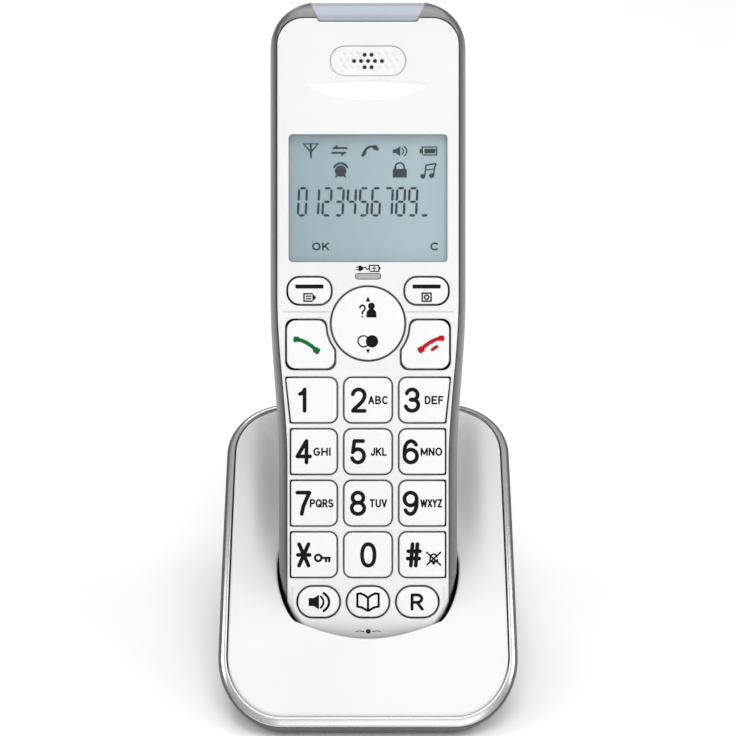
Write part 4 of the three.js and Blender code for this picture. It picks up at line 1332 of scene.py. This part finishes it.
def make_charge_symbol():
    """A mains plug and a battery, printed above the charge light."""
    z = SYMBOL_HEIGHT
    plug = [stroke([(-2.9, z + rise), (-2.3, z + rise)], 0.26) for rise in (0.3, -0.3)]
    plug.append(polygon((-2.35, z - 0.7), (-1.75, z - 0.7), (-1.2, z - 0.25), (-1.2, z + 0.25),
                        (-1.75, z + 0.7), (-2.35, z + 0.7)))
    lead = stroke([(-1.3, z), (-0.7, z + 0.35), (-0.2, z - 0.3), (0.25, z)], 0.26)
    battery = stroke([(0.35, z - 0.75), (2.7, z - 0.75), (2.7, z + 0.75), (0.35, z + 0.75),
                      (0.35, z - 0.75)], 0.3)
    plus = [stroke([(1.1, z), (2.0, z)], 0.24), stroke([(1.55, z - 0.45), (1.55, z + 0.45)], 0.24)]
    shapes = [*plug, lead, battery, *plus, bar(2.75, 3.1, z - 0.35, z + 0.35, 0.05)]
    print_on("charge_symbol", "handset", INK, panel_surface, [flatten(shapes)])


# ---- base ----

MOUTH_ROUND = 0.7
LINER_WALL = 1.2
TUB_TUCK = (2.8, 0.5, 3.0)       # how far the foot is tucked in at the sides, the front and its corners
FOOT_RECESS = 4.8
SCREW_RECESS = 2.8


def plan_outline(inset, step=0.4):
    x = BASE_WIDTH / 2 - inset
    y = BASE_DEPTH / 2 - inset
    return box_outline(-x, x, -y, y, BASE_CORNER - inset, step)


def base_surface(x, y):
    return Vector((x, y, face_height(x, y)))


@functools.lru_cache(maxsize=None)
def pocket_ring(z):
    """The pocket's cross-section in the handset's axes, with its bowed mouth."""
    ring = handset_ring(z, POCKET_GAP, cheek_steps=14, back_steps=60, front_steps=32,
                        low_tuck=POCKET_LOW_TUCK)
    edge = half_width(z, POCKET_LOW_TUCK) + POCKET_GAP - CHEEK_WIDTH
    front = face_depth(z) - POCKET_GAP
    points = []
    for x, y in ring:
        if abs(x) <= edge + 1e-6 and y <= front + 1e-6:
            y -= POCKET_BOW * (1 - (x / edge) ** 2)
        points.append((x, y))
    return points


def pocket_point(i, z):
    x, y = pocket_ring(round(max(z, 0.0), 4))[i]
    return HANDSET_IN_BASE @ Vector((x, y, z))


def mouth_height(i):
    """How far up the handset the sloping face cuts the pocket at one of its points."""
    low, high = 0.0, 80.0
    for _ in range(22):
        middle = (low + high) / 2
        p = pocket_point(i, middle)
        if p.z > face_height(p.x, p.y):
            high = middle
        else:
            low = middle
    return low


def make_cover():
    heights = [mouth_height(i) for i in range(len(pocket_ring(10.0)))]
    order = list(range(len(heights)))
    mouth = [pocket_point(i, heights[i]).xy for i in order]
    if area(mouth) < 0:
        order.reverse()
        mouth.reverse()
    wall = HANDSET_IN_BASE.to_3x3() @ Vector((0, 0, -1))
    cover = plate("base_cover", base_surface, plan_outline(TRIM_WIDTH + GAP), "base", BASE_WHITE, BASE,
                  holes=[mouth], depth=COVER_THICKNESS, radius=MOUTH_ROUND, down=(0, 0, -1), hole_down=wall,
                  spacing=1.4, steps=6)
    steps = 14
    inner = []
    for k in range(steps + 1):
        inner.append([pocket_point(i, lerp(heights[i] - 1.0, -POCKET_GAP, k / steps)) for i in order])
    outer = []
    for ring in reversed(inner):
        centre = sum(ring, Vector()) / len(ring)
        outer.append([p + (p - centre).normalized() * LINER_WALL for p in ring])
    sides = len(order)
    rings = inner + outer
    faces = joined(rings, [k for k in range(len(rings)) if k != steps])
    faces += [ring_indices(steps, sides), ring_indices(steps + 1, sides)]
    # Painted shade: the liner is part of the white cover, drawn in black plastic to stand in for the deep
    # shade in the pocket.
    liner = mesh_object("shade_black_pocket_liner", [p for ring in rings for p in ring], faces, BASE)
    finish_mesh(liner, "base", BLACK, 40)
    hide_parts("base_top_cover")


def closed_band(name, rings, place, capped):
    """Rings joined in turn, closed either by joining the last to the first or by a cap at both ends."""
    sides = len(rings[0])
    faces = joined(rings, range(len(rings) - 1 if capped else len(rings)))
    if capped:
        faces += [ring_indices(0, sides), ring_indices(len(rings) - 1, sides)]
    return outward(mesh_object(name, [p for ring in rings for p in ring], faces, place))


def make_trim():
    loop = densify(plan_outline(0), 1.5)
    # Inset from the base's edge, and level from its sloping face
    profile = [(0.55, -1.5), (0.5, -1.2), (0.5, -0.74), (0.6, -0.56), (0.9, -0.36), (1.3, -0.14),
               (1.6, -0.03), (1.85, 0.0), (1.95, -0.08), (TRIM_WIDTH, -0.25), (TRIM_WIDTH, -1.5)]
    rings = []
    for inset, drop in profile:
        rings.append([Vector((p.x, p.y, face_height(p.x, p.y) + drop)) for p in moved_in(loop, inset)])
    trim = closed_band("trim_ring", rings, BASE, capped=False)
    finish_mesh(trim, "base", TRIM, 50)
    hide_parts("base_trim_ring")


def small_parts(prefix):
    return [node for node in frame["nodes"] if node.startswith(prefix)]


def make_tub():
    """The grey lower cover: a wall that follows the slope, and a floor with screw and foot recesses."""
    loop = densify(plan_outline(0), 1.5)
    # Inset, level, and whether the level is counted from the sloping face or from the floor
    profile = [(1.8, 1.8, False), (1.8, -1.6, True), (0.45, -1.6, True), (0.42, -0.8, True),
               (0.1, -0.85, True), (0.0, -1.0, True), (0.0, 1.2, False),
               (0.12, 0.5, False), (0.4, 0.15, False), (0.8, 0.0, False)]
    rings = []
    for inset, level, follows in profile:
        ring = []
        for p, step, rim in zip(moved_in(loop, inset), moved_in(loop, 1), loop):
            inward = step - rim
            if follows:
                ring.append(Vector((p.x, p.y, face_height(rim.x, rim.y) + level)))
                continue
            ahead, beside = max(0, inward.y), abs(inward.x)
            p = p + inward * (TUB_TUCK[0] * beside + TUB_TUCK[1] * ahead + TUB_TUCK[2] * beside * ahead)
            ring.append(Vector((p.x, p.y, TUB_BOTTOM + level)))
        rings.append(ring)
    tub = closed_band("base_tub", rings, BASE, capped=True)
    low, high = local_box("dc_inlet", BASE)
    outline = box_outline(low.x - 0.2, high.x + 0.2, low.z - 0.2, high.z + 0.2, 0.6, 0.1)
    cutters = [prism("inlet", outline, high.y - 4, high.y + 3, BASE)]
    for node in small_parts("rubber_foot"):
        middle = middle_of(node, BASE)
        outline = circle(middle.x, middle.y, FOOT_RECESS, 48)
        cutters.append(prism("recess", outline, -1, local_box(node, BASE)[1].z + 0.2, BASE, plan_lift))
    for node in small_parts("base_screw"):
        middle = middle_of(node, BASE)
        outline = circle(middle.x, middle.y, SCREW_RECESS, 40)
        cutters.append(prism("well", outline, -1, local_box(node, BASE)[0].z + 0.9, BASE, plan_lift))
    combine(tub, cutters)
    finish_mesh(tub, "base", GREY, 30)
    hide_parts("base_bottom_cover")


# ---- small turned pieces ----

def make_feet():
    for node in small_parts("rubber_foot"):
        middle = middle_of(node, BASE)
        foot = lathe(node + "_pad", [(3.5, 0), (4.1, 0.06), (4.4, 0.25), (4.5, 0.5), (4.5, 1.0)], BASE,
                     (middle.x, middle.y, 0), (0, 0, 1))
        finish_mesh(foot, "base", RUBBER, 35)
        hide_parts(node)


SQUARE = ((-1, -1), (1, -1), (1, 1), (-1, 1))


def make_screw(node, body, place, axis, head_height):
    """A pan-head screw with a cross recess. Its axis runs from the head into the work."""
    low, high = local_box(node, place)
    middle = (low + high) / 2
    axis = Vector(axis)
    start = high if sum(axis) < 0 else low
    foot = Vector([start[i] if axis[i] else middle[i] for i in range(3)])
    length = sum(abs((high - low)[i] * axis[i]) for i in range(3))
    profile = [(1.5, 0), (2.0, 0.08), (2.3, 0.3), (2.4, 0.55), (2.4, head_height), (1.1, head_height),
               (1.1, length - 1.2), (0.2, length)]
    screw = lathe(node + "_turned", profile, place, foot, axis, 40)
    across = [Vector((1, 0, 0)), axis.cross(Vector((1, 0, 0)))]
    cutters = []
    for along, side in (across, across[::-1]):
        corners = []
        for level, half in ((-0.5, 1.4), (0.35, 1.2), (min(1.1, head_height + 0.5), 0.5)):
            corners.append([foot + axis * level + along * a * half + side * b * 0.24 for a, b in SQUARE])
        cutters.append(loft("cross", corners, place))
    combine(screw, cutters)
    finish_mesh(screw, body, STEEL, 30)
    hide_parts(node)


def make_screws():
    for node in small_parts("base_screw"):
        make_screw(node, "base", BASE, (0, 0, 1), 0.6)
    for node in small_parts("handset_screw"):
        make_screw(node, "handset", HANDSET, (0, -1, 0), 1.8)


def make_pins():
    for node in small_parts("charge_pin"):
        low, high = local_box(node)
        middle = middle_of(node)
        height = high.z - low.z
        profile = [(1.2, 0), (1.2, height - 1.0), (1.05, height - 0.5), (0.7, height - 0.15),
                   (0.25, height)]
        pin = lathe(node + "_turned", profile, HANDSET, (middle.x, middle.y, low.z), (0, 0, 1), 32)
        finish_mesh(pin, node, GOLD, 35)
        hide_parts(node)


def make_cells():
    for node in small_parts("battery_cell"):
        low, high = local_box(node)
        middle = middle_of(node)
        radius = (high.y - low.y) / 2
        height = high.z - low.z
        foot = (middle.x, middle.y, low.z)
        profile = [(radius - 0.5, 0.1), (radius - 0.1, 0.2), (radius, 0.6), (radius, height - 1.6),
                   (radius - 0.15, height - 1.2), (radius - 0.7, height - 1.05)]
        sleeve = lathe(node + "_sleeve", profile, HANDSET, foot, (0, 0, 1))
        finish_mesh(sleeve, "handset", SLEEVE, 35)
        profile = [(radius - 1.2, 0), (radius - 0.9, 0.3), (radius - 0.9, height - 1.0),
                   (1.9, height - 1.0), (1.9, height - 0.2), (1.6, height)]
        ends = lathe(node + "_ends", profile, HANDSET, foot, (0, 0, 1))
        finish_mesh(ends, "handset", STEEL, 35)
        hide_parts(node)


def make_inlet():
    low, high = local_box("dc_inlet", BASE)
    middle = middle_of("dc_inlet", BASE)
    outline = box_outline(low.x, high.x, low.z, high.z, 0.5, 0.15)
    housing = prism("inlet_housing", outline, low.y, high.y, BASE)
    face = Vector((middle.x, high.y, middle.z))
    bore = lathe("bore", [(3.5, -0.5), (3.0, 0.45), (3.0, 9.5)], BASE, face, (0, -1, 0))
    combine(housing, [bore])
    finish_mesh(housing, "base", BLACK, 30)
    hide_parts("dc_inlet")
    pin = lathe("inlet_pin", [(0.5, 1.6), (0.9, 1.8), (1.0, 2.2), (1.0, 9.4)], BASE, face, (0, -1, 0), 24)
    finish_mesh(pin, "base", STEEL, 30)


# ---- camera, light and floor ----

VIEW_ELEVATION = math.radians(25)
VIEW_DISTANCE = 0.6
VIEW_HEIGHT = 0.062
VIEW_DEPTH = 37.45
LENS_MM = 111.3

# Brightness of the studio's sides, ceiling and front
SIDE_LEFT = 0.1
SIDE_RIGHT = 0.35
CEILING = 0.7
FRONT = 0.8
# Name, place from the object's middle in metres, size in metres, power in watts
LIGHTS = [("key_light", (0.2, -0.9, 0.45), 0.6, 1.9), ("top_light", (0.05, -0.3, 1.1), 0.7, 3.8),
          ("right_light", (0.85, -0.05, 0.6), 0.4, 2.2), ("left_light", (-0.85, -0.05, 0.6), 0.4, 1.7),
          ("back_light", (-0.2, 0.9, 0.5), 0.5, 2.0)]
FLOOR_HALF = 3


def make_studio():
    """A bright ceiling and front over darker sides, which the silver shell mirrors."""
    world = bpy.data.worlds.new("studio")
    world.use_nodes = True
    tree = world.node_tree
    axes = add(tree, "SeparateXYZ", sources={"Vector": add(tree, "TexCoord").outputs["Generated"]})
    sides = {"From Min": -0.9, "From Max": 0.9, "To Min": SIDE_LEFT, "To Max": SIDE_RIGHT}
    across = add(tree, "MapRange", sides, {"Value": axes.outputs["X"]})
    height = add(tree, "MapRange", {"From Min": 0.1, "From Max": 0.95}, {"Value": axes.outputs["Z"]})
    blend = add(tree, "Mix", {"B": CEILING},
                {"Factor": height.outputs["Result"], "A": across.outputs["Result"]}, "FLOAT")
    ahead = add(tree, "MapRange", {"From Min": -0.4, "From Max": -0.95}, {"Value": axes.outputs["Y"]})
    whole = add(tree, "Mix", {"B": FRONT},
                {"Factor": ahead.outputs["Result"], "A": blend.outputs["Result"]}, "FLOAT")
    feed(tree, tree.nodes["Background"], {"Color": (1, 1, 1, 1)}, {"Strength": whole.outputs["Result"]})
    bpy.context.scene.world = world


def make_stage():
    mesh = bpy.data.meshes.new("floor")
    mesh.from_pydata([(FLOOR_HALF * a, FLOOR_HALF * b, 0) for a, b in SQUARE], [], [(0, 1, 2, 3)])
    floor = bpy.data.objects.new("floor", mesh)
    bpy.context.scene.collection.objects.link(floor)
    mesh.materials.append(FLOOR)
    make_studio()
    middle = (cad_box[0] + cad_box[1]) / 2
    for name, offset, size, power in LIGHTS:
        data = bpy.data.lights.new(name, "AREA")
        data.shape = "SQUARE"
        data.size = size
        data.energy = power
        light = bpy.data.objects.new(name, data)
        light.location = middle + Vector(offset)
        light.rotation_euler = (-Vector(offset)).to_track_quat("-Z", "Y").to_euler()
        bpy.context.scene.collection.objects.link(light)
    bpy.context.scene.view_settings.view_transform = "Standard"


def make_camera():
    data = bpy.data.cameras.new("camera")
    data.lens = LENS_MM
    camera = bpy.data.objects.new("camera", data)
    aim = BASE @ Vector((0, VIEW_DEPTH, 0)) + Vector((0, 0, VIEW_HEIGHT))
    back = Vector((0, -math.cos(VIEW_ELEVATION), math.sin(VIEW_ELEVATION)))
    camera.location = aim + back * VIEW_DISTANCE
    camera.rotation_euler = (-back).to_track_quat("-Z", "Y").to_euler()
    bpy.context.scene.collection.objects.link(camera)
    bpy.context.scene.camera = camera


# ---- making everything ----

# The CAD's own pieces that stay, and what they are made of
CARRIED = {
    "lcd_panel": LCD, "lcd_window": CLEAR, "keypad_membrane": SILICONE, "handset_board": BOARD,
    "base_board": BOARD, "earpiece_speaker": BLACK, "ringer_speaker": BLACK, "microphone": BLACK,
    "battery_contact_left": STEEL, "battery_contact_right": STEEL, "handset_contact_left": GOLD,
    "handset_contact_right": GOLD,
}

make_camera()
make_stage()
make_front()
make_earpiece()
make_charge_light()
make_rear_shell()
make_door()
make_alert_lens()
for key_name, key_outline in KEYS.items():
    make_key(key_name, key_outline)
make_display()
make_charge_symbol()
make_microphone_marks()
make_cover()
make_trim()
make_tub()
make_feet()
make_screws()
make_pins()
make_cells()
make_inlet()
for node, look in CARRIED.items():
    frame["nodes"][node].data.materials.clear()
    frame["nodes"][node].data.materials.append(look)
